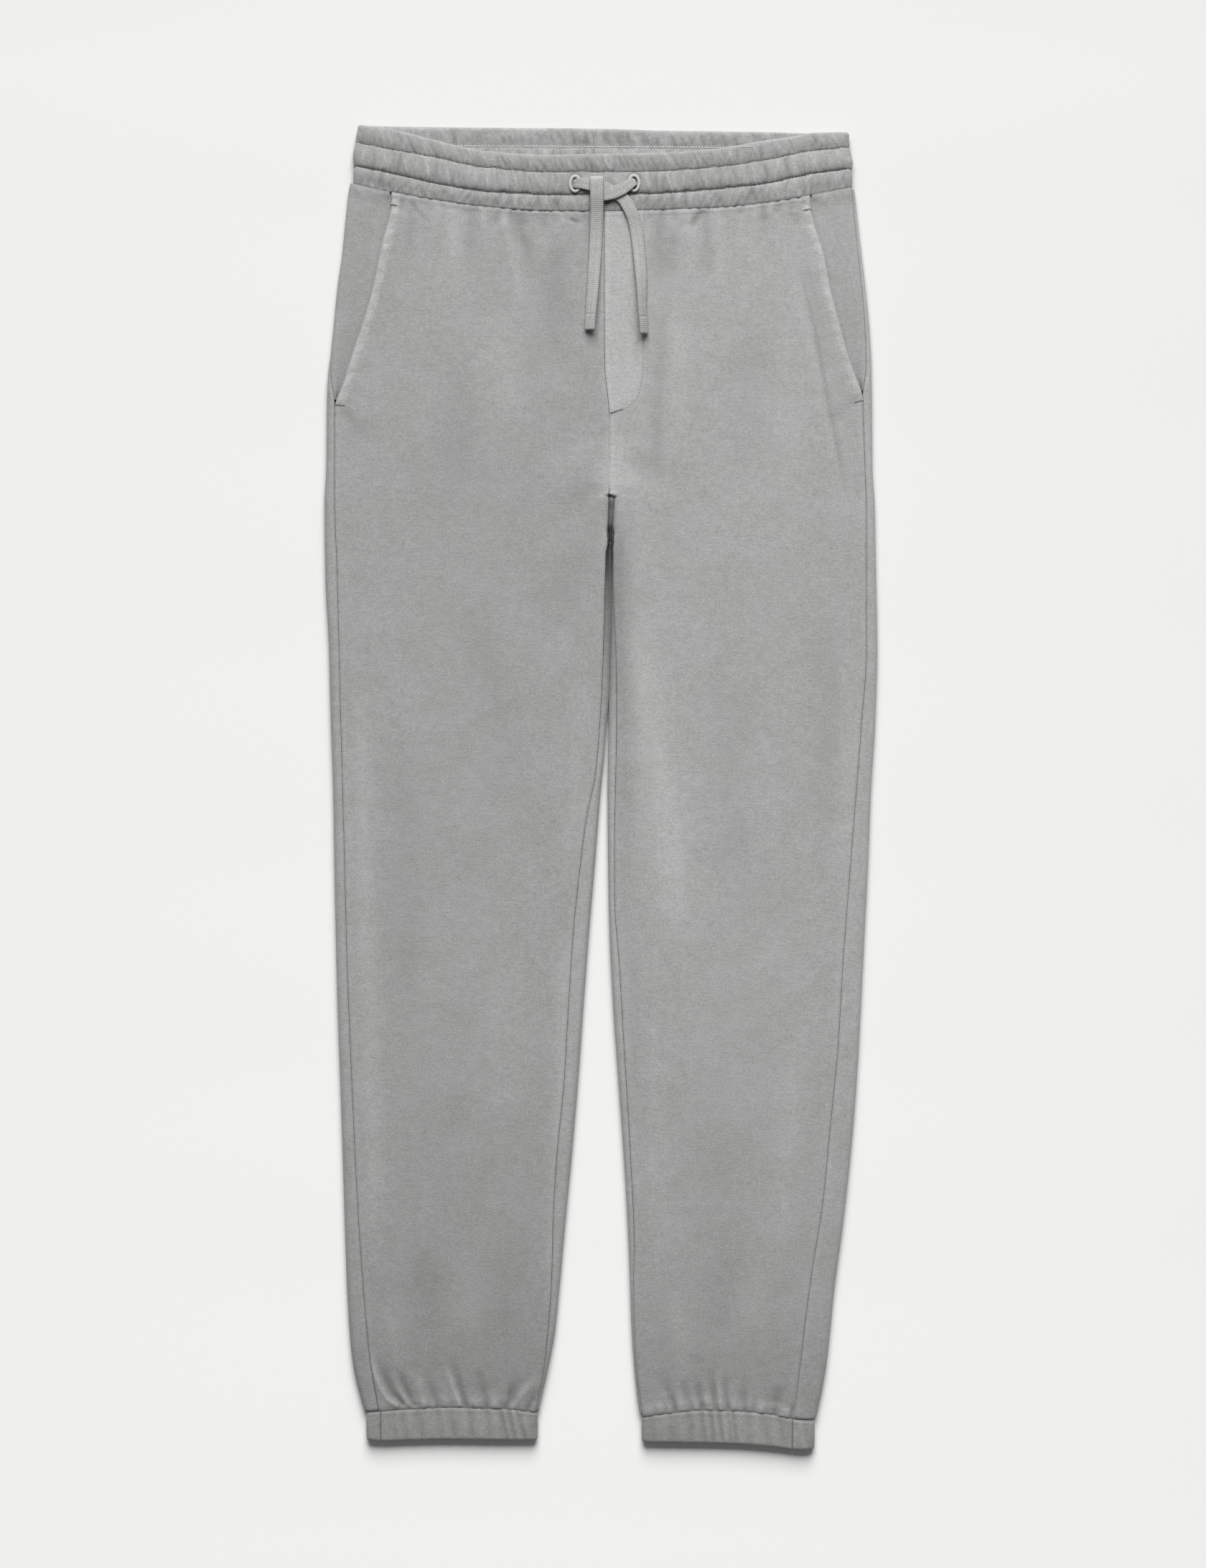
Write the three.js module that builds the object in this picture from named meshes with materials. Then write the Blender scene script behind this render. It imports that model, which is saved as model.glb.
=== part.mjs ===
// Jogger sweatpants laid face up on a flat surface. Millimetres, +Z up.
// The surface is z = 0, the waist points to +Y and the hems to -Y. The origin is below the middle of the outline.
// "left" and "right" in the names of pieces are the wearer's, so the wearer's left leg is on the +X side.
// Every panel is a wall between an outer and an inner skin. The backs lie flat on the surface, turn up round both
// edges of each leg and end at the side seam and the inseam. The fronts lie on them, and on the pocket facings.

import * as THREE from 'three';

// ---------------------------------------------------------------- sizes
const CLOTH = 2.6;          // brushed fleece
const SEAM_GAP = 0.3;       // clearance between two pieces at a seam
const HEM_GAP = 0.6;        // the same where the facets of a curved hem meet those of a cuff
const EDGE_R = 4.5;         // outer radius of the soft fold at each edge of a leg
const FACING_WALL = 2.2;    // pocket facing
const FACING_TUCK = 12;     // how far the facing reaches under the front
const BAND_WALL = 2.8;      // waistband at its stitch rows
const BAND_PUFF_OUT = 1.3;  // how far a channel of the waistband stands out between rows
const BAND_PUFF_IN = 0.9;
const BAND_HALF = 2.525;    // half the distance between the middles of the band's two layers
const BAND_LOW = 2.7;       // height of the middle of the band's back layer
const CUFF_R = 4.4;         // outer radius of the cuff's folded edges
const CUFF_WALL = 3.4;
const CORD_WIDTH = 10;
const CORD_THICK = 2;
const EYELET = { halfWidth: 4.7, halfHeight: 6.6, rim: 1.9, thick: 1.1 };
const CROTCH_Y = 228.1;     // lower end of the front rise
const SEAT_Y = 202.9;       // lower end of the back rise, seen in the slit between the legs
const RIGHT = -1, LEFT = 1; // the wearer's right is on the -X side, the wearer's left on the +X side

// ---------------------------------------------------------------- tables, a row for each section
// Outer edges of the legs from the waistband to the cuffs.
const OUTLINE = [
  { y: 470.0, m: -196.8, p: 197.7 }, { y: 446.5, m: -199.4, p: 199.9 }, { y: 418.5, m: -202.2, p: 203.3 },
  { y: 390.5, m: -206.1, p: 206.6 }, { y: 362.5, m: -208.9, p: 209.4 }, { y: 334.5, m: -211.7, p: 211.1 },
  { y: 306.5, m: -213.9, p: 211.7 }, { y: 250.5, m: -214.5, p: 212.2 }, { y: 222.5, m: -215.9, p: 213.9 },
  { y: 166.5, m: -215.3, p: 215.0 }, { y: 110.5, m: -212.5, p: 216.0 }, { y: 54.5, m: -211.1, p: 214.5 },
  { y: -1.5, m: -209.2, p: 211.1 }, { y: -57.5, m: -208.3, p: 208.9 }, { y: -113.5, m: -207.2, p: 206.1 },
  { y: -169.5, m: -205.8, p: 203.3 }, { y: -225.5, m: -203.8, p: 200.2 }, { y: -281.5, m: -201.9, p: 195.7 },
  { y: -337.5, m: -200.2, p: 189.6 }, { y: -393.5, m: -198.2, p: 182.3 }, { y: -421.5, m: -196.6, p: 179.5 },
  { y: -449.5, m: -193.8, p: 176.4 }, { y: -477.5, m: -187.3, p: 171.4 }, { y: -494.3, m: -182.6, p: 167.4 },
];
// Inner edges of the legs from the crotch down: a slit, then a wedge.
const INNER = [
  { y: 228.1, m: 5.8, p: 11.1 }, { y: 202.9, m: 5.2, p: 9.4 }, { y: 194.5, m: 6.3, p: 8.3 },
  { y: 184.4, m: 6.9, p: 7.7 }, { y: 158.6, m: 7.6, p: 8.3 }, { y: 134.0, m: 7.8, p: 8.6 },
  { y: 102.1, m: 6.8, p: 7.6 }, { y: 76.3, m: 6.2, p: 7.1 }, { y: 65.7, m: 5.4, p: 6.7 },
  { y: 26.5, m: 2.8, p: 5.6 }, { y: -1.5, m: 0.0, p: 5.2 }, { y: -57.5, m: -4.5, p: 5.6 },
  { y: -113.5, m: -9.2, p: 6.7 }, { y: -169.5, m: -13.4, p: 9.5 }, { y: -225.5, m: -17.4, p: 13.4 },
  { y: -281.5, m: -22.1, p: 17.4 }, { y: -337.5, m: -27.4, p: 20.7 }, { y: -393.5, m: -32.5, p: 23.0 },
  { y: -421.5, m: -35.3, p: 24.1 }, { y: -449.5, m: -40.3, p: 26.0 }, { y: -477.5, m: -46.8, p: 28.8 },
  { y: -494.3, m: -49.6, p: 31.9 },
];
const SIDE_SEAM_M = [
  { y: 470.0, x: -196.8 }, { y: 334.5, x: -211.7 }, { y: 323.3, x: -211.4 }, { y: 300.3, x: -207.8 },
  { y: 233.1, x: -207.8 }, { y: 166.5, x: -205.8 }, { y: 65.7, x: -203.3 }, { y: -38.5, x: -200.5 },
  { y: -147.1, x: -197.7 }, { y: -236.7, x: -194.0 }, { y: -315.1, x: -190.4 }, { y: -401.9, x: -184.5 },
  { y: -445.0, x: -180.3 }, { y: -494.3, x: -171.9 },
];
const SIDE_SEAM_P = [
  { y: 469.2, x: 196.6 }, { y: 437.5, x: 199.1 }, { y: 400.6, x: 202.9 }, { y: 364.2, x: 206.1 },
  { y: 329.4, x: 207.2 }, { y: 306.5, x: 204.4 }, { y: 250.5, x: 206.1 }, { y: 215.8, x: 207.2 },
  { y: 106.0, x: 207.2 }, { y: 48.3, x: 203.3 }, { y: -9.9, x: 198.8 }, { y: -67.6, x: 194.3 },
  { y: -125.3, x: 189.8 }, { y: -213.8, x: 184.2 }, { y: -257.4, x: 179.8 }, { y: -329.7, x: 172.5 },
  { y: -372.8, x: 165.5 }, { y: -416.5, x: 159.6 }, { y: -454.0, x: 155.1 }, { y: -494.3, x: 150.1 },
];
const INSEAM_M = [
  { y: 202.9, x: 4.6 }, { y: 166.5, x: 3.4 }, { y: 115.0, x: 2.1 }, { y: 76.9, x: 0.8 }, { y: 55.6, x: -0.4 },
  { y: 10.2, x: -4.2 }, { y: -24.5, x: -11.2 }, { y: -67.6, x: -16.8 }, { y: -111.3, x: -21.3 },
  { y: -169.5, x: -25.2 }, { y: -228.3, x: -28.6 }, { y: -286.0, x: -34.2 }, { y: -329.7, x: -37.0 },
  { y: -387.4, x: -38.6 }, { y: -424.9, x: -41.4 }, { y: -454.0, x: -44.2 }, { y: -494.3, x: -52.1 },
];
const INSEAM_P = [
  { y: 202.9, x: 9.8 }, { y: 166.5, x: 9.2 }, { y: 146.9, x: 9.5 }, { y: 127.3, x: 10.5 }, { y: 102.1, x: 11.8 },
  { y: 76.3, x: 12.2 }, { y: 55.6, x: 12.2 }, { y: -1.5, x: 11.4 }, { y: -38.5, x: 10.6 }, { y: -82.2, x: 10.6 },
  { y: -141.5, x: 14.6 }, { y: -199.2, x: 17.9 }, { y: -286.0, x: 23.0 }, { y: -358.2, x: 26.0 },
  { y: -393.0, x: 24.9 }, { y: -449.5, x: 26.9 }, { y: -494.3, x: 32.8 },
];
// Slanted pocket openings, from the waistband down to the side seam.
const POCKET_M = [
  { y: 465.5, x: -163.2 }, { y: 453.8, x: -163.8 }, { y: 422.4, x: -171.4 }, { y: 383.8, x: -179.8 },
  { y: 360.8, x: -186.5 }, { y: 337.3, x: -194.3 }, { y: 315.4, x: -201.0 }, { y: 299.5, x: -207.5 },
];
const POCKET_P = [
  { y: 463.3, x: 163.0 }, { y: 449.8, x: 164.4 }, { y: 413.4, x: 174.7 }, { y: 387.7, x: 179.8 },
  { y: 358.0, x: 187.6 }, { y: 335.0, x: 193.8 }, { y: 306.5, x: 204.3 },
];
const CENTRE_FRONT = [
  { y: 450.4, x: 2.8 }, { y: 373.7, x: 2.8 }, { y: 330.0, x: 3.1 }, { y: 294.4, x: 6.4 }, { y: 267.3, x: 7.2 },
  { y: 228.1, x: 6.4 },
];
const CENTRE_BACK = [
  { y: 470.0, x: -5.6 }, { y: 300.0, x: 0.5 }, { y: 228.1, x: 6.8 }, { y: 202.9, x: 7.3 },
];
// Waistband: top edges of its back and front layers, the two stitch rows and the seam to the panels.
const BAND = [
  { x: -190.4, backTop: 517.6, top: 517.6, row1: 503.3, row2: 484.8, seam: 470.6 },
  { x: -166.3, backTop: 517.0, top: 514.5, row1: 498.8, row2: 480.1, seam: 465.5 },
  { x: -132.7, backTop: 516.4, top: 506.4, row1: 492.7, row2: 472.5, seam: 459.4 },
  { x: -89.6, backTop: 515.9, top: 496.9, row1: 484.0, row2: 465.2, seam: 453.5 },
  { x: -39.8, backTop: 515.6, top: 494.1, row1: 480.6, row2: 462.8, seam: 450.1 },
  { x: 3.4, backTop: 515.1, top: 494.9, row1: 480.6, row2: 462.7, seam: 449.8 },
  { x: 49.3, backTop: 513.7, top: 495.8, row1: 481.5, row2: 464.1, seam: 451.2 },
  { x: 93.0, backTop: 513.1, top: 499.1, row1: 484.8, row2: 467.5, seam: 452.9 },
  { x: 122.1, backTop: 512.6, top: 504.2, row1: 488.8, row2: 470.6, seam: 455.7 },
  { x: 151.8, backTop: 511.8, top: 508.6, row1: 494.6, row2: 476.4, seam: 460.2 },
  { x: 166.3, backTop: 511.4, top: 511.1, row1: 497.4, row2: 479.5, seam: 463.1 },
  { x: 194.3, backTop: 511.7, top: 511.7, row1: 499.7, row2: 482.9, seam: 468.3 },
];
// Columns across the band from its seam to its top edge: which channel, how far up it, how puffed, and the outline.
const BAND_COLUMNS = [
  { channel: 0, up: 0.00, puff: 0, endM: -193.2, endP: 196.2 },
  { channel: 0, up: 0.33, puff: 1, endM: -193.4, endP: 196.3 },
  { channel: 0, up: 0.67, puff: 1, endM: -193.4, endP: 196.3 },
  { channel: 1, up: 0.00, puff: 0, endM: -192.8, endP: 195.6 },
  { channel: 1, up: 0.33, puff: 1, endM: -193.8, endP: 196.6 },
  { channel: 1, up: 0.67, puff: 1, endM: -193.4, endP: 195.6 },
  { channel: 2, up: 0.00, puff: 0, endM: -191.8, endP: 194.3 },
  { channel: 2, up: 0.33, puff: 1, endM: -191.4, endP: 194.4 },
  { channel: 2, up: 0.67, puff: 1, endM: -190.4, endP: 194.0 },
  { channel: 2, up: 1.00, puff: 0, endM: -189.9, endP: 193.8 },
];
const CUFF_M = [
  { x: -183.1, seam: -487.6, hem: -508.9 }, { x: -171.4, seam: -486.5, hem: -510.0 },
  { x: -146.7, seam: -484.8, hem: -509.2 }, { x: -119.8, seam: -483.7, hem: -508.7 },
  { x: -74.2, seam: -484.8, hem: -509.2 }, { x: -49.3, seam: -487.6, hem: -509.2 },
];
const CUFF_P = [
  { x: 31.9, seam: -491.0, hem: -510.8 }, { x: 49.3, seam: -488.7, hem: -511.1 },
  { x: 79.3, seam: -485.9, hem: -511.5 }, { x: 107.0, seam: -486.5, hem: -512.3 },
  { x: 134.7, seam: -489.3, hem: -514.5 }, { x: 156.8, seam: -493.5, hem: -517.0 },
  { x: 166.9, seam: -493.8, hem: -515.6 },
];
// Largest soft ridges (height > 0) and troughs of the fronts: a line, half its width and its height.
const FOLDS = [
  { name: 'inner thigh ridge, left leg', x0: 22, y0: 170, x1: 38, y1: -230, wide: 17, high: 0.55 },
  { name: 'long diagonal crease, left leg', x0: 162, y0: 392, x1: 201, y1: 225, wide: 11, high: -0.7 },
  { name: 'calf trough, left leg', x0: 120, y0: -120, x1: 102, y1: -400, wide: 34, high: -0.45 },
  { name: 'seat hollow, left front', x0: 52, y0: 430, x1: 60, y1: 350, wide: 15, high: -0.4 },
  { name: 'seat hollow, right front', x0: -52, y0: 432, x1: -40, y1: 330, wide: 16, high: -0.5 },
  { name: 'thigh trough, right leg', x0: -100, y0: 240, x1: -120, y1: -120, wide: 38, high: -0.45 },
  { name: 'calf trough, right leg', x0: -112, y0: -190, x1: -120, y1: -430, wide: 30, high: -0.6 },
  { name: 'outer ridge, right leg', x0: -178, y0: 120, x1: -176, y1: -380, wide: 13, high: 0.4 },
  { name: 'cuff gather, right leg', x0: -120, y0: -456, x1: -113, y1: -484, wide: 9, high: -0.7 },
  { name: 'cuff gather, left leg', x0: 76, y0: -452, x1: 80, y1: -484, wide: 9, high: -0.7 },
];
// Heights of the front skin above the surface, down the length.
const CROWN = [
  { y: 470, sag: 0.1 }, { y: 420, sag: 0.25 }, { y: 300, sag: 0.35 }, { y: 100, sag: 0.35 }, { y: -200, sag: 0.5 },
  { y: -400, sag: 0.7 }, { y: -494, sag: 0.2 },
];
// How far the inseam has turned round the inner edge between the crotch and the thigh, in degrees up from level.
const CROTCH_TURN = [
  { y: 224.7, front: -20, back: null }, { y: 214.1, front: -20, back: null }, { y: 202.9, front: -18, back: null },
  { y: 199.0, front: -8, back: -30 }, { y: 195.0, front: 15, back: -8 }, { y: 190.6, front: 40, back: 22 },
];
// Sections of a panel along the leg. The first three of a front follow the curve of the waistband's seam.
const SECTIONS = [
  390.5, 359.7, 328.9, 314.0, 306.5, 299.5, 270.0, 244.9, 229.2, 224.7, 214.1, 202.9, 199.0, 195.0, 190.6, 184.4,
  160.9, 132.9, 102.1, 74.1, 26.5, -35.1, -107.9, -186.3, -264.7, -337.5, -399.1, -443.9, -469.1,
];
const TOP_SECTIONS = [{ y: 446.5, down: 0.32 }, { y: 421.3, down: 0.64 }];
// Free ends of the drawcord: middle line, height of the middle and roll of the flat braid in degrees.
const CORD_RIGHT_END = [
  { x: -3.3, y: 451.6, z: 14.3, roll: 0 }, { x: -3.4, y: 444.0, z: 12.6, roll: 0 }, { x: -3.7, y: 434.0, z: 10.9, roll: 0 },
  { x: -4.2, y: 420.0, z: 10.7, roll: 4 }, { x: -5.2, y: 404.0, z: 11.4, roll: 14 }, { x: -6.4, y: 388.0, z: 12.2, roll: 24 },
  { x: -7.3, y: 374.0, z: 12.9, roll: 33 }, { x: -8.2, y: 364.0, z: 13.3, roll: 38 }, { x: -8.7, y: 355.8, z: 13.4, roll: 40 },
];
const CORD_LEFT_END = [
  { x: 22.5, y: 449.6, z: 13.9, roll: 0 }, { x: 25.2, y: 443.0, z: 12.3, roll: 0 }, { x: 27.4, y: 434.0, z: 10.9, roll: -2 },
  { x: 29.4, y: 420.0, z: 11.2, roll: -8 }, { x: 31.0, y: 405.0, z: 12.2, roll: -22 }, { x: 31.9, y: 390.0, z: 13.2, roll: -38 },
  { x: 32.2, y: 375.0, z: 14.1, roll: -52 }, { x: 33.2, y: 362.0, z: 14.2, roll: -56 }, { x: 33.8, y: 352.8, z: 14.2, roll: -56 },
];
// The half knot between the two eyelets: sections along X with the reach in Y and in Z.
const KNOT = [
  { x: -20.6, y0: 466.6, y1: 474.4, z0: 12.6, z1: 14.2 }, { x: -14.0, y0: 464.4, y1: 474.8, z0: 12.5, z1: 14.8 },
  { x: -8.6, y0: 460.2, y1: 477.8, z0: 12.4, z1: 15.8 }, { x: -2.6, y0: 453.2, y1: 478.8, z0: 12.4, z1: 17.0 },
  { x: 2.6, y0: 453.0, y1: 478.2, z0: 12.4, z1: 17.0 }, { x: 8.0, y0: 454.2, y1: 473.6, z0: 12.4, z1: 16.4 },
  { x: 13.4, y0: 454.0, y1: 472.4, z0: 12.4, z1: 16.4 }, { x: 19.0, y0: 459.0, y1: 473.0, z0: 12.4, z1: 15.6 },
  { x: 24.0, y0: 464.4, y1: 473.4, z0: 12.5, z1: 14.6 }, { x: 27.0, y0: 467.6, y1: 473.6, z0: 12.6, z1: 14.0 },
];

// ---------------------------------------------------------------- reading the tables
// A smooth curve through a column of a table that never overshoots its rows.
function through(table, at, column) {
  const rows = [...table].sort((a, b) => a[at] - b[at]);
  const t = rows.map((r) => r[at]), v = rows.map((r) => r[column]), n = t.length;
  const d = [], m = new Array(n).fill(0);
  for (let i = 0; i < n - 1; i++) d.push((v[i + 1] - v[i]) / (t[i + 1] - t[i]));
  for (let i = 1; i < n - 1; i++) {
    if (d[i - 1] * d[i] > 0) {
      const a = t[i] - t[i - 1], b = t[i + 1] - t[i];
      m[i] = (3 * (a + b)) / ((2 * b + a) / d[i - 1] + (b + 2 * a) / d[i]);
    }
  }
  m[0] = d[0];
  m[n - 1] = d[n - 2];
  return (q) => {
    if (q <= t[0]) return v[0] + m[0] * (q - t[0]);
    if (q >= t[n - 1]) return v[n - 1] + m[n - 1] * (q - t[n - 1]);
    let i = 0;
    while (q > t[i + 1]) i++;
    const h = t[i + 1] - t[i], s = (q - t[i]) / h, s2 = s * s, s3 = s2 * s;
    return (2 * s3 - 3 * s2 + 1) * v[i] + (s3 - 2 * s2 + s) * h * m[i] + (3 * s2 - 2 * s3) * v[i + 1] + (s3 - s2) * h * m[i + 1];
  };
}
const lerp = (a, b, t) => a + (b - a) * t;
const smooth = (t) => { const c = Math.min(1, Math.max(0, t)); return c * c * (3 - 2 * c); };

const outerX = { [RIGHT]: through(OUTLINE, 'y', 'm'), [LEFT]: through(OUTLINE, 'y', 'p') };
const innerX = { [RIGHT]: through(INNER, 'y', 'm'), [LEFT]: through(INNER, 'y', 'p') };
const sideSeamX = { [RIGHT]: through(SIDE_SEAM_M, 'y', 'x'), [LEFT]: through(SIDE_SEAM_P, 'y', 'x') };
const inseamX = { [RIGHT]: through(INSEAM_M, 'y', 'x'), [LEFT]: through(INSEAM_P, 'y', 'x') };
const pocketX = { [RIGHT]: through(POCKET_M, 'y', 'x'), [LEFT]: through(POCKET_P, 'y', 'x') };
const pocketEndY = { [RIGHT]: 299.5, [LEFT]: 306.5 };
const centreFrontX = through(CENTRE_FRONT, 'y', 'x');
const centreBackX = through(CENTRE_BACK, 'y', 'x');
const band = Object.fromEntries(['backTop', 'top', 'row1', 'row2', 'seam'].map((k) => [k, through(BAND, 'x', k)]));
const crownSag = through(CROWN, 'y', 'sag');
const backSeamY = (x) => lerp(band.seam(BAND[0].x), band.seam(BAND[BAND.length - 1].x), (x - BAND[0].x) / (BAND[BAND.length - 1].x - BAND[0].x));
// The line of a cuff's seam: curved on the front, straight under the leg. up is 1 on the front and -1 underneath.
const cuffSeam = (side, x, up) => {
  const c = cuff[side], straight = lerp(c.seam(c.x0), c.seam(c.x1), (x - c.x0) / (c.x1 - c.x0));
  return lerp(straight, c.seam(x), (1 + up) / 2);
};
const cuff = {
  [RIGHT]: { seam: through(CUFF_M, 'x', 'seam'), hem: through(CUFF_M, 'x', 'hem'), x0: -183.1, x1: -49.3, slit: -171.9 },
  [LEFT]: { seam: through(CUFF_P, 'x', 'seam'), hem: through(CUFF_P, 'x', 'hem'), x0: 31.9, x1: 166.9, slit: 149.5 },
};

// ---------------------------------------------------------------- the skin
const QUARTER = (Math.PI / 2) * EDGE_R;

function foldHeight(x, y) {
  let h = 0;
  for (const f of FOLDS) {
    const dx = f.x1 - f.x0, dy = f.y1 - f.y0, len2 = dx * dx + dy * dy;
    const t = Math.min(1, Math.max(0, ((x - f.x0) * dx + (y - f.y0) * dy) / len2));
    const d2 = (x - f.x0 - t * dx) ** 2 + (y - f.y0 - t * dy) ** 2;
    h += f.high * Math.exp(-d2 / (f.wide * f.wide));
  }
  return h;
}

// Height of the front skin at a point of a leg, away from the folded edges.
function skinTop(side, x, y) {
  const fromOuter = Math.abs(x - outerX[side](y)) - EDGE_R;
  const fromInner = y < CROTCH_Y ? Math.abs(x - innerX[side](y)) - EDGE_R : 60;
  const away = smooth(Math.min(fromOuter, fromInner) / 22);
  return Math.min(9.15, 2 * EDGE_R + away * (foldHeight(x, y) - crownSag(y)));
}

// A point of the skin round a folded edge, c millimetres up from the edge's outermost line.
// Past a quarter turn it runs on over the top, or under the leg where c is negative.
function roundEdge(side, edge, y, c) {
  const ext = (edge === 'outer' ? outerX : innerX)[side](y);
  const inboard = edge === 'outer' ? -side : side;
  if (c > QUARTER) {
    const x = ext + inboard * (EDGE_R + c - QUARTER);
    return { x, z: skinTop(side, x, y), nx: 0, nz: 1 };
  }
  if (c < -QUARTER) return { x: ext + inboard * (EDGE_R - c - QUARTER), z: 0, nx: 0, nz: -1 };
  const a = c / EDGE_R;
  return { x: ext + inboard * EDGE_R * (1 - Math.cos(a)), z: EDGE_R + EDGE_R * Math.sin(a), nx: -inboard * Math.cos(a), nz: Math.sin(a) };
}
// How far up from the outermost line a seam at x is.
function upTo(side, edge, y, x) {
  const inboard = edge === 'outer' ? -side : side;
  const e = Math.max(0, (x - (edge === 'outer' ? outerX : innerX)[side](y)) * inboard);
  return e < EDGE_R ? EDGE_R * Math.acos(1 - e / EDGE_R) : QUARTER + e - EDGE_R;
}
function inseamUp(side, y, which) {
  const turn = CROTCH_TURN.find((r) => Math.abs(r.y - y) < 0.6);
  if (turn) return turn[which] === null ? null : (turn[which] * Math.PI / 180) * EDGE_R;
  const c = upTo(side, 'inner', y, inseamX[side](y));
  return which === 'front' ? c + SEAM_GAP / 2 : c - SEAM_GAP / 2;
}

// ---------------------------------------------------------------- walls
// A closed body between an outer and an inner grid of points.
function wall(outer, inner) {
  const rows = outer.length, cols = outer[0].length, pos = [], idx = [];
  for (const grid of [outer, inner]) for (const row of grid) for (const p of row) pos.push(p[0], p[1], p[2]);
  const at = (skin, j, i) => skin * rows * cols + j * cols + i;
  const quad = (a, b, c, d) => idx.push(a, b, c, a, c, d);
  for (let j = 0; j < rows - 1; j++) for (let i = 0; i < cols - 1; i++) {
    quad(at(0, j, i), at(0, j, i + 1), at(0, j + 1, i + 1), at(0, j + 1, i));
    quad(at(1, j, i), at(1, j + 1, i), at(1, j + 1, i + 1), at(1, j, i + 1));
  }
  for (let i = 0; i < cols - 1; i++) {
    quad(at(0, 0, i), at(1, 0, i), at(1, 0, i + 1), at(0, 0, i + 1));
    quad(at(0, rows - 1, i), at(0, rows - 1, i + 1), at(1, rows - 1, i + 1), at(1, rows - 1, i));
  }
  for (let j = 0; j < rows - 1; j++) {
    quad(at(0, j, 0), at(0, j + 1, 0), at(1, j + 1, 0), at(1, j, 0));
    quad(at(0, j, cols - 1), at(1, j, cols - 1), at(1, j + 1, cols - 1), at(0, j + 1, cols - 1));
  }
  return closed(pos, idx);
}
// A closed body from rings of points with a cap at each end, or joined end to end.
function rings(list, loop = false) {
  const n = list[0].length, m = list.length, pos = list.flat(2), idx = [];
  for (let j = 0; j < (loop ? m : m - 1); j++) for (let i = 0; i < n; i++) {
    const k = (i + 1) % n, j2 = (j + 1) % m;
    idx.push(j * n + i, j * n + k, j2 * n + k, j * n + i, j2 * n + k, j2 * n + i);
  }
  if (!loop) for (let i = 1; i < n - 1; i++) {
    idx.push(0, i + 1, i, (m - 1) * n, (m - 1) * n + i, (m - 1) * n + i + 1);
  }
  return closed(pos, idx);
}
// Faces point outwards: the signed volume is positive.
function closed(pos, idx) {
  let volume = 0;
  for (let t = 0; t < idx.length; t += 3) {
    const [a, b, c] = [0, 1, 2].map((k) => pos.slice(3 * idx[t + k], 3 * idx[t + k] + 3));
    volume += a[0] * (b[1] * c[2] - b[2] * c[1]) - a[1] * (b[0] * c[2] - b[2] * c[0]) + a[2] * (b[0] * c[1] - b[1] * c[0]);
  }
  if (volume < 0) for (let t = 0; t < idx.length; t += 3) [idx[t + 1], idx[t + 2]] = [idx[t + 2], idx[t + 1]];
  const g = new THREE.BufferGeometry();
  g.setAttribute('position', new THREE.Float32BufferAttribute(pos, 3));
  g.setIndex(idx);
  g.computeVertexNormals();
  return g;
}
const skinPair = (list, y, thick) => ({
  outer: list.map((p, i) => [p.x, Array.isArray(y) ? y[i] : y, p.z]),
  inner: list.map((p, i) => [p.x - p.nx * thick, Array.isArray(y) ? y[i] : y, p.z - p.nz * thick]),
});

// ---------------------------------------------------------------- panels
// A front runs from the pocket opening or the side seam to the centre seam, or round the inner edge to the inseam.
function front(side) {
  const inboard = -side, outer = [], inner = [], PLANE = 7, TURN = 4;
  const sections = [{ top: 0 }, ...TOP_SECTIONS.map((s) => ({ top: s.down })), ...SECTIONS.map((y) => ({ y })), { hem: true }];
  for (const s of sections) {
    const yOf = (x) => {
      if (s.hem) return cuff[side].seam(x) + HEM_GAP;
      if (s.y !== undefined) return s.y;
      return lerp(band.seam(x) - SEAM_GAP, SECTIONS[0], s.top);
    };
    const yNear = s.hem ? -487.5 : s.y ?? lerp(466, SECTIONS[0], s.top);
    let startX = 0, yStart = yNear;
    for (let k = 0; k < 3; k++) {
      startX = yStart > pocketEndY[side] + 0.01 ? pocketX[side](yStart) : sideSeamX[side](yStart) + inboard * SEAM_GAP / 2;
      yStart = yOf(startX);
    }
    const points = [], ys = [];
    const open = yNear < CROTCH_Y;
    const inner0 = (y) => (open ? innerX[side](y) : 0);
    const endUp = open ? inseamUp(side, s.hem ? -487.5 : yNear, 'front') : null;
    const endX = open ? null : centreFrontX(yNear) - inboard * SEAM_GAP / 2;
    const bendUp = open ? Math.max(endUp + 6, QUARTER + 4) : null;
    const bendX = open ? inner0(yNear) + side * (EDGE_R + bendUp - QUARTER) : endX - inboard * 10;
    for (let i = 0; i <= PLANE; i++) {
      const x = lerp(startX, bendX, i / PLANE), y = yOf(x);
      points.push({ x, z: skinTop(side, x, y), nx: 0, nz: 1 });
      ys.push(y);
    }
    for (let i = 1; i <= TURN; i++) {
      if (open) {
        const p0 = roundEdge(side, 'inner', yNear, lerp(bendUp, endUp, i / TURN)), y = yOf(p0.x);
        points.push(s.hem ? roundEdge(side, 'inner', y, lerp(bendUp, endUp, i / TURN)) : p0);
        ys.push(y);
      } else {
        const x = lerp(bendX, endX, i / TURN), y = yOf(x);
        points.push({ x, z: skinTop(side, x, y), nx: 0, nz: 1 });
        ys.push(y);
      }
    }
    const pair = skinPair(points, ys, CLOTH);
    outer.push(pair.outer);
    inner.push(pair.inner);
  }
  return wall(outer, inner);
}

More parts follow.
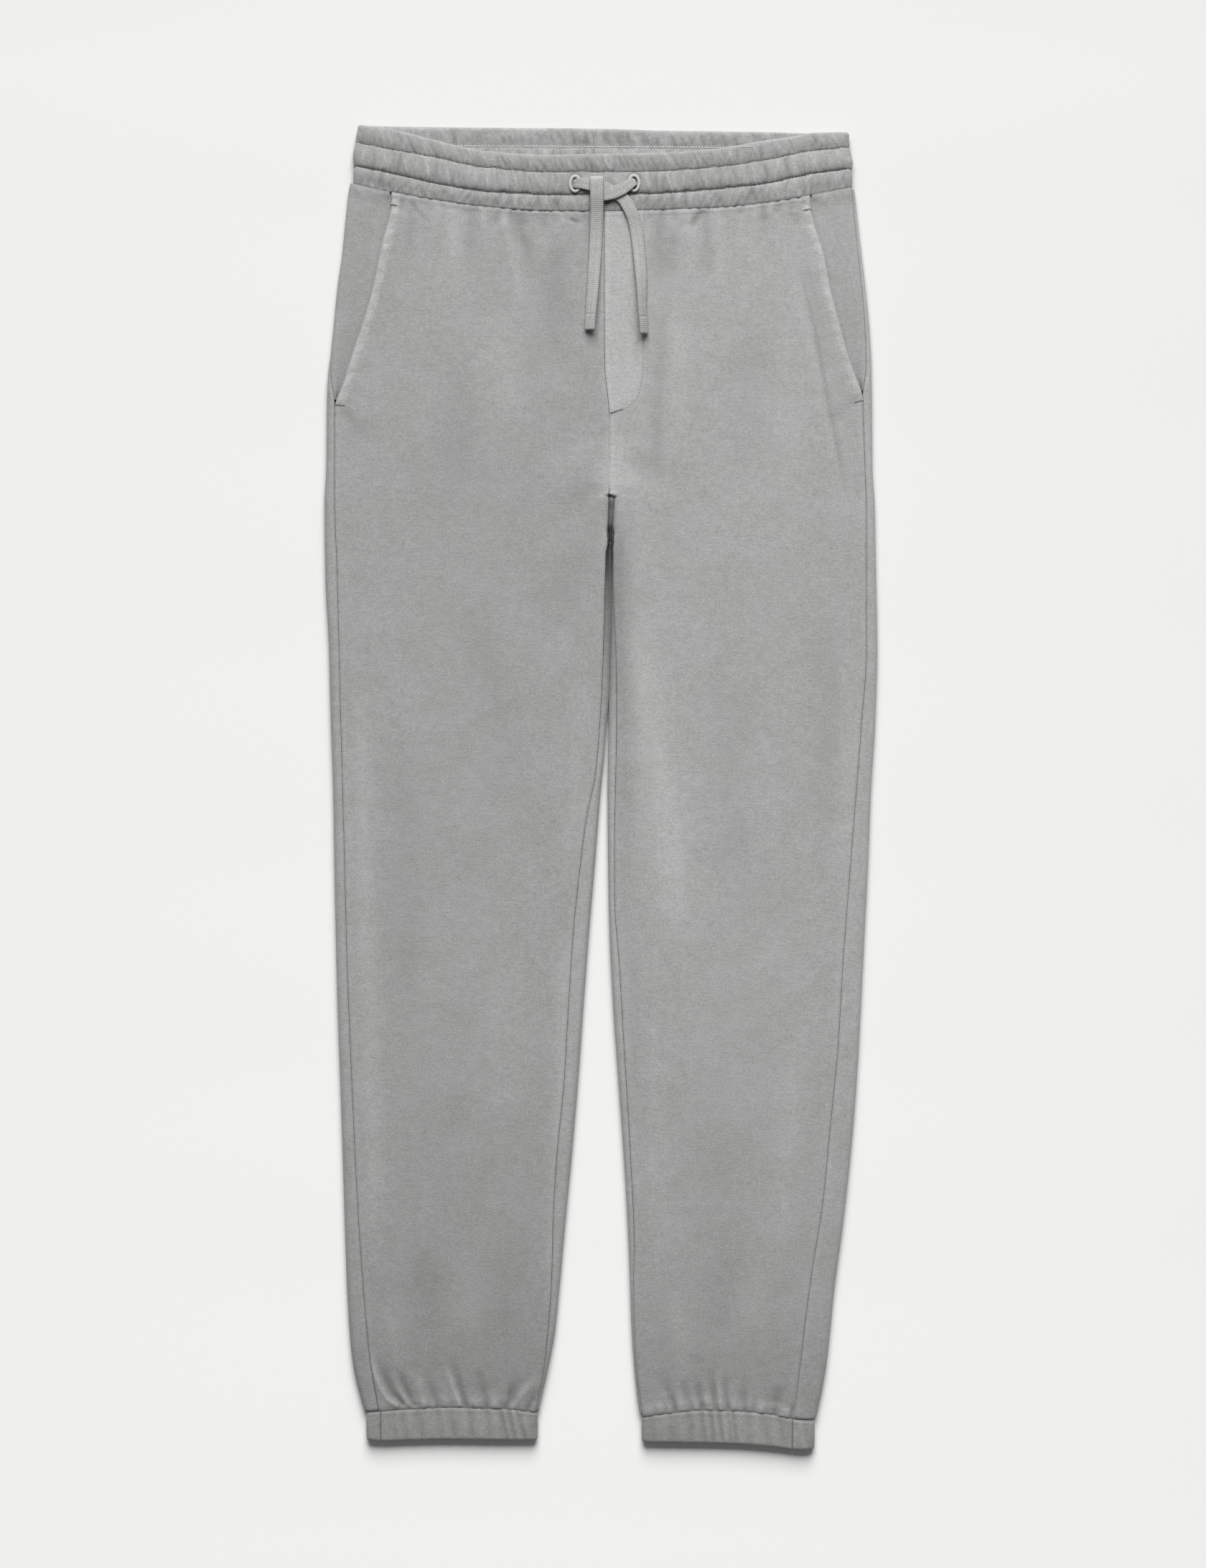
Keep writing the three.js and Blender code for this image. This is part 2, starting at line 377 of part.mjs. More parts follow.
// A back runs from the side seam round the outer edge, flat on the surface, to the centre back seam, or round the
// inner edge to the inseam.
function back(side) {
  const inboard = -side, outer = [], inner = [], EDGE = 5, FLAT = 2;
  const sections = [{ top: true }, ...TOP_SECTIONS.map((s) => ({ y: s.y })), ...SECTIONS.map((y) => ({ y })), { hem: true }];
  for (const s of sections) {
    const y0 = s.top ? 469.5 : s.hem ? -487.5 : s.y;
    const yOf = (p) => (s.top ? backSeamY(p.x) - SEAM_GAP : s.hem ? cuffSeam(side, p.x, p.nz) + HEM_GAP : s.y);
    const points = [];
    const c0 = upTo(side, 'outer', y0, sideSeamX[side](y0)) - SEAM_GAP / 2;
    for (let i = 0; i <= EDGE; i++) {
      const c = c0 > QUARTER
        ? (i === 0 ? c0 : lerp(QUARTER, -QUARTER, (i - 1) / (EDGE - 1)))
        : lerp(c0, -QUARTER, i / EDGE);
      points.push(roundEdge(side, 'outer', y0, c));
    }
    const x0 = outerX[side](y0) + inboard * EDGE_R;
    const c1 = y0 < CROTCH_Y ? inseamUp(side, y0, 'back') : null;
    if (c1 === null) {
      const x1 = centreBackX(y0) - inboard * SEAM_GAP / 2, bend = x1 - inboard * 7;
      for (let i = 1; i <= FLAT; i++) points.push({ x: lerp(x0, bend, i / FLAT), z: 0, nx: 0, nz: -1 });
      for (let i = 1; i <= EDGE; i++) points.push({ x: lerp(bend, x1, i / EDGE), z: 0, nx: 0, nz: -1 });
    } else {
      const x1 = innerX[side](y0) - inboard * EDGE_R;
      for (let i = 1; i <= FLAT; i++) points.push({ x: lerp(x0, x1, i / FLAT), z: 0, nx: 0, nz: -1 });
      for (let i = 1; i <= EDGE; i++) {
        const c = c1 > QUARTER
          ? (i === EDGE ? c1 : lerp(-QUARTER, QUARTER, i / (EDGE - 1)))
          : lerp(-QUARTER, c1, i / EDGE);
        points.push(roundEdge(side, 'inner', y0, c));
      }
    }
    const pair = skinPair(points, points.map(yOf), CLOTH);
    outer.push(pair.outer);
    inner.push(pair.inner);
  }
  return wall(outer, inner);
}

// The facing shows in the pocket opening, from the side seam to the opening's edge, and tucks in under the front.
function facing(side) {
  const inboard = -side, outer = [], inner = [];
  const last = pocketEndY[side] + 3.5;
  const levels = ['top', 446.5, 421.3, 390.5, 359.7, 328.9, 314.0, ...(last < 306.5 ? [306.5] : []), last];
  for (const level of levels) {
    const y0 = level === 'top' ? 469.5 : level;
    const yOf = (x) => (level === 'top' ? band.seam(x) - HEM_GAP : level);
    const yEdge = level === 'top' ? yOf(side * 163) : level;
    const edgeX = pocketX[side](yEdge) - inboard * 0.9;
    const c0 = upTo(side, 'outer', y0, sideSeamX[side](y0)) + SEAM_GAP / 2;
    const crest = Math.max(c0, QUARTER);
    const crestX = roundEdge(side, 'outer', y0, crest).x;
    const points = [];
    for (let i = 0; i <= 3; i++) points.push(roundEdge(side, 'outer', y0, lerp(c0, crest, c0 < QUARTER ? i / 3 : i / 30)));
    const from = c0 < QUARTER ? crestX : points[3].x;
    const under = Math.min(...[0, 4, 8, 12].map((k) => skinTop(side, pocketX[side](yEdge) + inboard * k, yEdge))) - CLOTH - SEAM_GAP - 0.15;
    const high = points[3].z;
    for (const [t, drop] of [[0.5, 0.45], [1, 1]]) {
      points.push({ x: lerp(from, edgeX, t), z: lerp(high, under, drop), nx: 0, nz: 1 });
    }
    for (const t of [0.5, 1]) points.push({ x: edgeX + inboard * FACING_TUCK * t, z: under, nx: 0, nz: 1 });
    const pair = skinPair(points, points.map((p) => yOf(p.x)), FACING_WALL);
    outer.push(pair.outer);
    inner.push(pair.inner);
  }
  return wall(outer, inner);
}

// ---------------------------------------------------------------- waistband, cuffs
// The band is one strip with three channels, joined at the centre back: along the back, round each end, along the front.
const BAND_HIGH = BAND_LOW + 2 * BAND_HALF;
const bandLevels = (layer, x) => (layer === 'front'
  ? [band.seam(x), band.row2(x), band.row1(x), band.top(x)]
  : [backSeamY(x), backSeamY(x) + 12.6, backSeamY(x) + 31.2, band.backTop(x)]);
function waistband() {
  const outer = [], inner = [], slitX = -5.6, BACK = 8, END = 6, FRONT = 26;
  const stations = [];
  for (let i = 0; i <= BACK; i++) stations.push({ kind: 'back', from: slitX + SEAM_GAP / 2, to: 1, t: i / BACK });
  for (let i = 1; i < END; i++) stations.push({ kind: 'end', to: 1, a: lerp(-90, 90, i / END) });
  for (let i = 0; i <= FRONT; i++) stations.push({ kind: 'front', t: i / FRONT });
  for (let i = 1; i < END; i++) stations.push({ kind: 'end', to: -1, a: lerp(90, -90, i / END) });
  for (let i = 0; i <= BACK; i++) stations.push({ kind: 'back', from: slitX - SEAM_GAP / 2, to: -1, t: 1 - i / BACK });
  for (const s of stations) {
    const o = [], n = [];
    for (const col of BAND_COLUMNS) {
      const out = BAND_WALL / 2 + BAND_PUFF_OUT * col.puff, inn = BAND_WALL / 2 + BAND_PUFF_IN * col.puff;
      const centre = { 1: col.endP - BAND_HALF - out, [-1]: col.endM + BAND_HALF + out };
      let x, z, nx = 0, nz, back = 0;
      if (s.kind === 'back') { x = lerp(s.from, centre[s.to], s.t); z = BAND_LOW; nz = -1; back = 1; }
      else if (s.kind === 'front') { x = lerp(centre[1], centre[-1], s.t); z = BAND_HIGH; nz = 1; }
      else {
        const a = s.a * Math.PI / 180;
        nx = s.to * Math.cos(a); nz = Math.sin(a);
        x = centre[s.to] + BAND_HALF * nx; z = BAND_LOW + BAND_HALF + BAND_HALF * nz;
        back = (1 - nz) / 2;
      }
      const levels = [0, 1].map((layer) => {
        const l = bandLevels(layer ? 'back' : 'front', x);
        return col.channel === 2 && col.up === 1 ? l[3] : lerp(l[col.channel], l[col.channel + 1], col.up);
      });
      const y = lerp(levels[0], levels[1], back);
      o.push([x + nx * out, y, z + nz * out]);
      n.push([x - nx * inn, y, z - nz * inn]);
    }
    outer.push(o);
    inner.push(n);
  }
  return wall(outer, inner);
}
// Height of the band's front skin inside its middle channel.
function bandSkin(x, y) {
  const u = (y - band.row2(x)) / (band.row1(x) - band.row2(x));
  return BAND_HIGH + BAND_WALL / 2 + BAND_PUFF_OUT * Math.max(0, Math.min(1, 3 * u, 3 * (1 - u)));
}

// A cuff is a folded strip round the ankle, joined at the side.
function cuffRing(side) {
  const c = cuff[side], outer = [], inner = [], END = 4;
  const stations = [], low = c.x0 + CUFF_R, high = c.x1 - CUFF_R;
  const tops = (from, to, n) => { for (let i = 0; i <= n; i++) stations.push({ x: lerp(from, to, i / n), nx: 0, nz: 1 }); };
  tops(c.slit - SEAM_GAP / 2, low, side < 0 ? 1 : 7);
  for (let i = 1; i < END; i++) { const a = (90 - (180 * i) / END) * Math.PI / 180; stations.push({ x: low, nx: -Math.cos(a), nz: Math.sin(a) }); }
  for (let i = 0; i <= 5; i++) stations.push({ x: lerp(low, high, i / 5), nx: 0, nz: -1 });
  for (let i = 1; i < END; i++) { const a = (-90 + (180 * i) / END) * Math.PI / 180; stations.push({ x: high, nx: Math.cos(a), nz: Math.sin(a) }); }
  tops(high, c.slit + SEAM_GAP / 2, side < 0 ? 7 : 1);
  for (const s of stations) {
    const o = [], n = [];
    for (const v of [0, 0.5, 1]) {
      const shrink = v === 0.5 ? 0 : 0.25, r = CUFF_R - shrink, wallHere = CUFF_WALL - 2 * shrink;
      const x = s.x + s.nx * r, xi = s.x + s.nx * (r - wallHere), y = lerp(cuffSeam(side, s.x, s.nz), c.hem(s.x), v);
      o.push([x, y, CUFF_R + s.nz * r]);
      n.push([xi, y, CUFF_R + s.nz * (r - wallHere)]);
    }
    outer.push(o);
    inner.push(n);
  }
  return wall(outer, inner);
}

// ---------------------------------------------------------------- eyelets and drawcord
// An oval rim worked round the hole that the cord comes out of, made from the band's points moved out.
function eyelet(cx, cy) {
  const list = [], N = 20;
  for (let i = 0; i < N; i++) {
    const a = (2 * Math.PI * i) / N, ring = [];
    for (const [inset, up] of [[0, 0], [0, 0.6], [0.45, 1], [1.45, 1], [EYELET.rim, 0.6], [EYELET.rim, 0]]) {
      const x = cx + (EYELET.halfWidth - inset) * Math.cos(a), y = cy + (EYELET.halfHeight - inset) * Math.sin(a);
      ring.push([x, y, bandSkin(x, y) + SEAM_GAP + 0.1 + EYELET.thick * up]);
    }
    list.push(ring);
  }
  return rings(list, true);
}
const CORD_SECTION = [[-0.5, -0.2], [-0.44, -0.5], [0.44, -0.5], [0.5, -0.2], [0.5, 0.2], [0.44, 0.5], [-0.44, 0.5], [-0.5, 0.2]];
function cordEnd(route) {
  const at = Object.fromEntries(['x', 'z', 'roll'].map((k) => [k, through(route, 'y', k)]));
  const y0 = route[0].y, y1 = route[route.length - 1].y, steps = 16, list = [];
  for (let j = 0; j <= steps; j++) {
    const y = lerp(y0, y1, j / steps), e = 0.4;
    const run = new THREE.Vector3(at.x(y - e) - at.x(y + e), -2 * e, at.z(y - e) - at.z(y + e)).normalize();
    const level = new THREE.Vector3(0, 0, 1).cross(run).normalize();
    const up = new THREE.Vector3().crossVectors(run, level).normalize();
    const roll = (at.roll(y) * Math.PI) / 180;
    const wide = level.clone().multiplyScalar(Math.cos(roll)).addScaledVector(up, Math.sin(roll));
    const thick = up.clone().multiplyScalar(Math.cos(roll)).addScaledVector(level, -Math.sin(roll));
    list.push(CORD_SECTION.map(([u, v]) => {
      const p = new THREE.Vector3(at.x(y), y, at.z(y)).addScaledVector(wide, u * CORD_WIDTH).addScaledVector(thick, v * CORD_THICK);
      return [p.x, p.y, p.z];
    }));
  }
  return rings(list);
}
function knot() {
  return rings(KNOT.map((s) => {
    const ym = (s.y0 + s.y1) / 2, h = (s.y1 - s.y0) / 2, zm = (s.z0 + s.z1) / 2, t = (s.z1 - s.z0) / 2;
    return [[-1, -0.4], [-0.8, -1], [0.8, -1], [1, -0.4], [1, 0.4], [0.7, 1], [-0.7, 1], [-1, 0.4]].map(([u, v]) => [s.x, ym + u * h, zm + v * t]);
  }));
}

// ---------------------------------------------------------------- the garment
const fleece = { color: 0xa3a3a1, roughness: 0.95, metalness: 0 };
const braid = { color: 0xb4b4b1, roughness: 0.85, metalness: 0 };
const garment = new THREE.Group();
garment.name = 'jogger_sweatpants';
function add(name, geometry, finish) {
  const mesh = new THREE.Mesh(geometry, new THREE.MeshStandardMaterial(finish));
  mesh.name = name;
  garment.add(mesh);
}
for (const [side, word] of [[RIGHT, 'right'], [LEFT, 'left']]) {
  add(`front_${word}`, front(side), fleece);
  add(`back_${word}`, back(side), fleece);
  add(`pocket_facing_${word}`, facing(side), fleece);
  add(`cuff_${word}`, cuffRing(side), fleece);
}
add('waistband', waistband(), fleece);
add('eyelet_right', eyelet(-20.0, 470.9), braid);
add('eyelet_left', eyelet(25.9, 471.4), braid);
add('drawcord_knot', knot(), braid);
add('drawcord_end_right', cordEnd(CORD_RIGHT_END), braid);
add('drawcord_end_left', cordEnd(CORD_LEFT_END), braid);

export default garment;
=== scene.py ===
# Jogger sweatpants laid face up: the looks. Lengths in the tables are millimetres, as in the CAD model, and every
# object is made in metres in the same frame: the waist points to +Y, the surface is z = 0.
# "right" and "left" are the wearer's, so the wearer's left leg is on the +X side.
import math
import bpy
import numpy as np
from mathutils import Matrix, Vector
from mathutils.bvhtree import BVHTree


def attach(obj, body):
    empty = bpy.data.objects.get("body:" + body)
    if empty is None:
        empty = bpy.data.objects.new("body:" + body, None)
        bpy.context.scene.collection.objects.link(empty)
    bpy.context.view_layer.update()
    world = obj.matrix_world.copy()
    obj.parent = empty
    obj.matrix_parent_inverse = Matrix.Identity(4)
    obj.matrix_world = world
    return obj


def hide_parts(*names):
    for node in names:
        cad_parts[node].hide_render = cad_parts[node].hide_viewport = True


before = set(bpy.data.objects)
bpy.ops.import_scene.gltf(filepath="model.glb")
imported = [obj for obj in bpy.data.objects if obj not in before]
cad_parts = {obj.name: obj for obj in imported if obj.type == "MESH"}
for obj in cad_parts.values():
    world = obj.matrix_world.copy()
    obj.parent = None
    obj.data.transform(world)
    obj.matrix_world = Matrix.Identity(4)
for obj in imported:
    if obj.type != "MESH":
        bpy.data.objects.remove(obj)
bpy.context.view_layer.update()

RIGHT, LEFT = -1, 1
WORD = {RIGHT: "right", LEFT: "left"}
MM = 0.001

# ---------------------------------------------------------------- sizes and tables of the construction
CLOTH, SEAM_GAP, HEM_GAP, EDGE_R = 2.6, 0.3, 0.6, 4.5
FACING_WALL, FACING_TUCK = 2.2, 12.0
BAND_WALL, BAND_PUFF_OUT, BAND_PUFF_IN, BAND_HALF, BAND_LOW = 2.8, 1.3, 0.9, 2.525, 2.7
BAND_HIGH = BAND_LOW + 2 * BAND_HALF
CUFF_R, CUFF_WALL = 4.4, 3.4
CROTCH_Y, SEAT_Y = 228.1, 202.9
QUARTER = math.pi / 2 * EDGE_R
EYELETS = {RIGHT: (-20.0, 470.9), LEFT: (25.9, 471.4)}
POCKET_END = {RIGHT: 299.5, LEFT: 306.5}

# y, m, p
OUTLINE = [
    (470.0, -196.8, 197.7), (446.5, -199.4, 199.9), (418.5, -202.2, 203.3), (390.5, -206.1, 206.6),
    (362.5, -208.9, 209.4), (334.5, -211.7, 211.1), (306.5, -213.9, 211.7), (250.5, -214.5, 212.2),
    (222.5, -215.9, 213.9), (166.5, -215.3, 215.0), (110.5, -212.5, 216.0), (54.5, -211.1, 214.5),
    (-1.5, -209.2, 211.1), (-57.5, -208.3, 208.9), (-113.5, -207.2, 206.1), (-169.5, -205.8, 203.3),
    (-225.5, -203.8, 200.2), (-281.5, -201.9, 195.7), (-337.5, -200.2, 189.6), (-393.5, -198.2, 182.3),
    (-421.5, -196.6, 179.5), (-449.5, -193.8, 176.4), (-477.5, -187.3, 171.4), (-494.3, -182.6, 167.4),
]
# y, m, p
INNER = [
    (228.1, 5.8, 11.1), (202.9, 5.2, 9.4), (194.5, 6.3, 8.3), (184.4, 6.9, 7.7), (158.6, 7.6, 8.3),
    (134.0, 7.8, 8.6), (102.1, 6.8, 7.6), (76.3, 6.2, 7.1), (65.7, 5.4, 6.7), (26.5, 2.8, 5.6), (-1.5, 0.0, 5.2),
    (-57.5, -4.5, 5.6), (-113.5, -9.2, 6.7), (-169.5, -13.4, 9.5), (-225.5, -17.4, 13.4), (-281.5, -22.1, 17.4),
    (-337.5, -27.4, 20.7), (-393.5, -32.5, 23.0), (-421.5, -35.3, 24.1), (-449.5, -40.3, 26.0),
    (-477.5, -46.8, 28.8), (-494.3, -49.6, 31.9),
]
# y, x
SIDE_SEAM_M = [
    (470.0, -196.8), (334.5, -211.7), (323.3, -211.4), (300.3, -207.8), (233.1, -207.8), (166.5, -205.8),
    (65.7, -203.3), (-38.5, -200.5), (-147.1, -197.7), (-236.7, -194.0), (-315.1, -190.4), (-401.9, -184.5),
    (-445.0, -180.3), (-494.3, -171.9),
]
# y, x
SIDE_SEAM_P = [
    (469.2, 196.6), (437.5, 199.1), (400.6, 202.9), (364.2, 206.1), (329.4, 207.2), (306.5, 204.4), (250.5, 206.1),
    (215.8, 207.2), (106.0, 207.2), (48.3, 203.3), (-9.9, 198.8), (-67.6, 194.3), (-125.3, 189.8), (-213.8, 184.2),
    (-257.4, 179.8), (-329.7, 172.5), (-372.8, 165.5), (-416.5, 159.6), (-454.0, 155.1), (-494.3, 150.1),
]
# y, x
INSEAM_M = [
    (202.9, 4.6), (166.5, 3.4), (115.0, 2.1), (76.9, 0.8), (55.6, -0.4), (10.2, -4.2), (-24.5, -11.2),
    (-67.6, -16.8), (-111.3, -21.3), (-169.5, -25.2), (-228.3, -28.6), (-286.0, -34.2), (-329.7, -37.0),
    (-387.4, -38.6), (-424.9, -41.4), (-454.0, -44.2), (-494.3, -52.1),
]
# y, x
INSEAM_P = [
    (202.9, 9.8), (166.5, 9.2), (146.9, 9.5), (127.3, 10.5), (102.1, 11.8), (76.3, 12.2), (55.6, 12.2), (-1.5, 11.4),
    (-38.5, 10.6), (-82.2, 10.6), (-141.5, 14.6), (-199.2, 17.9), (-286.0, 23.0), (-358.2, 26.0), (-393.0, 24.9),
    (-449.5, 26.9), (-494.3, 32.8),
]
# y, x
POCKET_M = [
    (465.5, -163.2), (453.8, -163.8), (422.4, -171.4), (383.8, -179.8), (360.8, -186.5), (337.3, -194.3),
    (315.4, -201.0), (299.5, -207.5),
]
# y, x
POCKET_P = [
    (463.3, 163.0), (449.8, 164.4), (413.4, 174.7), (387.7, 179.8), (358.0, 187.6), (335.0, 193.8), (306.5, 204.3),
]
# y, x
CENTRE_FRONT = [
    (450.4, 2.8), (373.7, 2.8), (330.0, 3.1), (294.4, 6.4), (267.3, 7.2), (228.1, 6.4),
]
# y, x
CENTRE_BACK = [
    (470.0, -5.6), (300.0, 0.5), (228.1, 6.8), (202.9, 7.3),
]
# x, backTop, top, row1, row2, seam
BAND = [
    (-190.4, 517.6, 517.6, 503.3, 484.8, 470.6), (-166.3, 517.0, 514.5, 498.8, 480.1, 465.5),
    (-132.7, 516.4, 506.4, 492.7, 472.5, 459.4), (-89.6, 515.9, 496.9, 484.0, 465.2, 453.5),
    (-39.8, 515.6, 494.1, 480.6, 462.8, 450.1), (3.4, 515.1, 494.9, 480.6, 462.7, 449.8),
    (49.3, 513.7, 495.8, 481.5, 464.1, 451.2), (93.0, 513.1, 499.1, 484.8, 467.5, 452.9),
    (122.1, 512.6, 504.2, 488.8, 470.6, 455.7), (151.8, 511.8, 508.6, 494.6, 476.4, 460.2),
    (166.3, 511.4, 511.1, 497.4, 479.5, 463.1), (194.3, 511.7, 511.7, 499.7, 482.9, 468.3),
]
# channel, up, puff, endM, endP
BAND_COLUMNS = [
    (0, 0.00, 0, -193.2, 196.2), (0, 0.33, 1, -193.4, 196.3), (0, 0.67, 1, -193.4, 196.3),
    (1, 0.00, 0, -192.8, 195.6), (1, 0.33, 1, -193.8, 196.6), (1, 0.67, 1, -193.4, 195.6),
    (2, 0.00, 0, -191.8, 194.3), (2, 0.33, 1, -191.4, 194.4), (2, 0.67, 1, -190.4, 194.0),
    (2, 1.00, 0, -189.9, 193.8),
]
# x, seam, hem
CUFF_M = [
    (-183.1, -487.6, -508.9), (-171.4, -486.5, -510.0), (-146.7, -484.8, -509.2), (-119.8, -483.7, -508.7),
    (-74.2, -484.8, -509.2), (-49.3, -487.6, -509.2),
]
# x, seam, hem
CUFF_P = [
    (31.9, -491.0, -510.8), (49.3, -488.7, -511.1), (79.3, -485.9, -511.5), (107.0, -486.5, -512.3),
    (134.7, -489.3, -514.5), (156.8, -493.5, -517.0), (166.9, -493.8, -515.6),
]
# x0, y0, x1, y1, wide, high
FOLDS = [
    (22, 170, 38, -230, 17, 0.55), (162, 392, 201, 225, 11, -0.7), (120, -120, 102, -400, 34, -0.45),
    (52, 430, 60, 350, 15, -0.4), (-52, 432, -40, 330, 16, -0.5), (-100, 240, -120, -120, 38, -0.45),
    (-112, -190, -120, -430, 30, -0.6), (-178, 120, -176, -380, 13, 0.4), (-120, -456, -113, -484, 9, -0.7),
    (76, -452, 80, -484, 9, -0.7),
]
# y, sag
CROWN = [
    (470, 0.1), (420, 0.25), (300, 0.35), (100, 0.35), (-200, 0.5), (-400, 0.7), (-494, 0.2),
]
# How far the inseam has turned round the inner edge just below the crotch, in degrees up from level.
TURN_FRONT = [(224.7, -20), (214.1, -20), (202.9, -18), (199.0, -8), (195.0, 15), (190.6, 40)]
TURN_BACK = [(199.0, -30), (195.0, -8), (190.6, 22)]


def through(rows, column=1):
    """A smooth curve through a column of a table that never overshoots its rows."""
    rows = sorted(rows)
    t = np.array([r[0] for r in rows], float)
    v = np.array([r[column] for r in rows], float)
    n = len(t)
    d = np.diff(v) / np.diff(t)
    m = np.zeros(n)
    for i in range(1, n - 1):
        if d[i - 1] * d[i] > 0:
            a, b = t[i] - t[i - 1], t[i + 1] - t[i]
            m[i] = 3 * (a + b) / ((2 * b + a) / d[i - 1] + (b + 2 * a) / d[i])
    m[0], m[-1] = d[0], d[-1]

    def read(q):
        q = np.asarray(q, float)
        i = np.clip(np.searchsorted(t, q, side="right") - 1, 0, n - 2)
        h = t[i + 1] - t[i]
        s = (q - t[i]) / h
        s2, s3 = s * s, s * s * s
        out = (2 * s3 - 3 * s2 + 1) * v[i] + (s3 - 2 * s2 + s) * h * m[i] + (3 * s2 - 2 * s3) * v[i + 1] + (s3 - s2) * h * m[i + 1]
        out = np.where(q <= t[0], v[0] + m[0] * (q - t[0]), out)
        return np.where(q >= t[-1], v[-1] + m[-1] * (q - t[-1]), out)
    return read


def lerp(a, b, t):
    return a + (b - a) * t


def smooth(t):
    c = np.clip(t, 0.0, 1.0)
    return c * c * (3 - 2 * c)


outer_x = {RIGHT: through(OUTLINE, 1), LEFT: through(OUTLINE, 2)}
inner_x = {RIGHT: through(INNER, 1), LEFT: through(INNER, 2)}
side_seam_x = {RIGHT: through(SIDE_SEAM_M), LEFT: through(SIDE_SEAM_P)}
inseam_x = {RIGHT: through(INSEAM_M), LEFT: through(INSEAM_P)}
pocket_x = {RIGHT: through(POCKET_M), LEFT: through(POCKET_P)}
centre_front_x = through(CENTRE_FRONT)
centre_back_x = through(CENTRE_BACK)
band_back_top, band_top, band_row1, band_row2, band_seam = [through(BAND, k) for k in (1, 2, 3, 4, 5)]
crown_sag = through(CROWN)
CUFF = {
    RIGHT: dict(seam=through(CUFF_M, 1), hem=through(CUFF_M, 2), x0=-183.1, x1=-49.3, slit=-171.9),
    LEFT: dict(seam=through(CUFF_P, 1), hem=through(CUFF_P, 2), x0=31.9, x1=166.9, slit=149.5),
}


def back_seam_y(x):
    a, b = BAND[0][0], BAND[-1][0]
    return lerp(float(band_seam(a)), float(band_seam(b)), (x - a) / (b - a))


def cuff_seam(side, x, up):
    c = CUFF[side]
    straight = lerp(float(c["seam"](c["x0"])), float(c["seam"](c["x1"])), (x - c["x0"]) / (c["x1"] - c["x0"]))
    return lerp(straight, c["seam"](x), (1 + up) / 2)


def broad_folds(x, y):
    h = np.zeros(np.broadcast(x, y).shape)
    for x0, y0, x1, y1, wide, high in FOLDS:
        dx, dy = x1 - x0, y1 - y0
        t = np.clip(((x - x0) * dx + (y - y0) * dy) / (dx * dx + dy * dy), 0, 1)
        d2 = (x - x0 - t * dx) ** 2 + (y - y0 - t * dy) ** 2
        h = h + high * np.exp(-d2 / (wide * wide))
    return h


def skin_top(side, x, y):
    from_outer = np.abs(x - outer_x[side](y)) - EDGE_R
    from_inner = np.where(y < CROTCH_Y, np.abs(x - inner_x[side](y)) - EDGE_R, 60.0)
    away = smooth(np.minimum(from_outer, from_inner) / 22)
    return np.minimum(9.15, 2 * EDGE_R + away * (broad_folds(x, y) - crown_sag(y)))


def round_edge(side, edge, y, c):
    """Points and normals round a folded edge, c millimetres up from its outermost line."""
    ext = (outer_x if edge == "outer" else inner_x)[side](y)
    inboard = -side if edge == "outer" else side
    a = np.clip(c, -QUARTER, QUARTER) / EDGE_R
    x = ext + inboard * (EDGE_R * (1 - np.cos(a)) + np.maximum(np.abs(c) - QUARTER, 0))
    z = EDGE_R + EDGE_R * np.sin(a)
    z = np.where(c > QUARTER, skin_top(side, x, y), z)
    return x, z, -inboard * np.cos(a), np.sin(a)


def up_to(side, edge, y, x):
    inboard = -side if edge == "outer" else side
    e = np.maximum(0, (x - (outer_x if edge == "outer" else inner_x)[side](y)) * inboard)
    return np.where(e < EDGE_R, EDGE_R * np.arccos(1 - np.minimum(e, EDGE_R) / EDGE_R), QUARTER + e - EDGE_R)


def inseam_up(side, which):
    """How far up from the inner edge's outermost line the inseam lies, as a function of y."""
    turn = TURN_FRONT if which == "front" else TURN_BACK
    ys = [r[0] for r in turn] + list(np.arange(184.4, -520, -2.5))
    cs = [math.radians(r[1]) * EDGE_R for r in turn]
    for y in ys[len(turn):]:
        c = float(up_to(side, "inner", y, inseam_x[side](y)))
        cs.append(c + SEAM_GAP / 2 if which == "front" else c - SEAM_GAP / 2)
    ys, cs = np.array(ys)[::-1], np.array(cs)[::-1]
    return lambda q: np.interp(q, ys, cs)


def noise2(x, y, size, seed):
    """Smooth value noise from -1 to 1 with features about size millimetres across."""
    table = np.random.RandomState(seed).uniform(-1, 1, (64, 64))
    u, v = np.asarray(x, float) / size + 1000, np.asarray(y, float) / size + 1000
    i, j = np.floor(u).astype(int), np.floor(v).astype(int)
    a, b = smooth(u - i), smooth(v - j)
    g = lambda p, q: table[p % 64, q % 64]
    return lerp(lerp(g(i, j), g(i + 1, j), a), lerp(g(i, j + 1), g(i + 1, j + 1), a), b)


# ---------------------------------------------------------------- creases placed one by one
def at(px, py):
    """A place in the laid garment, from its place in the full-size photograph, in millimetres."""
    return (px - 837.0) * 0.56, (1097.3 - py) * 0.56


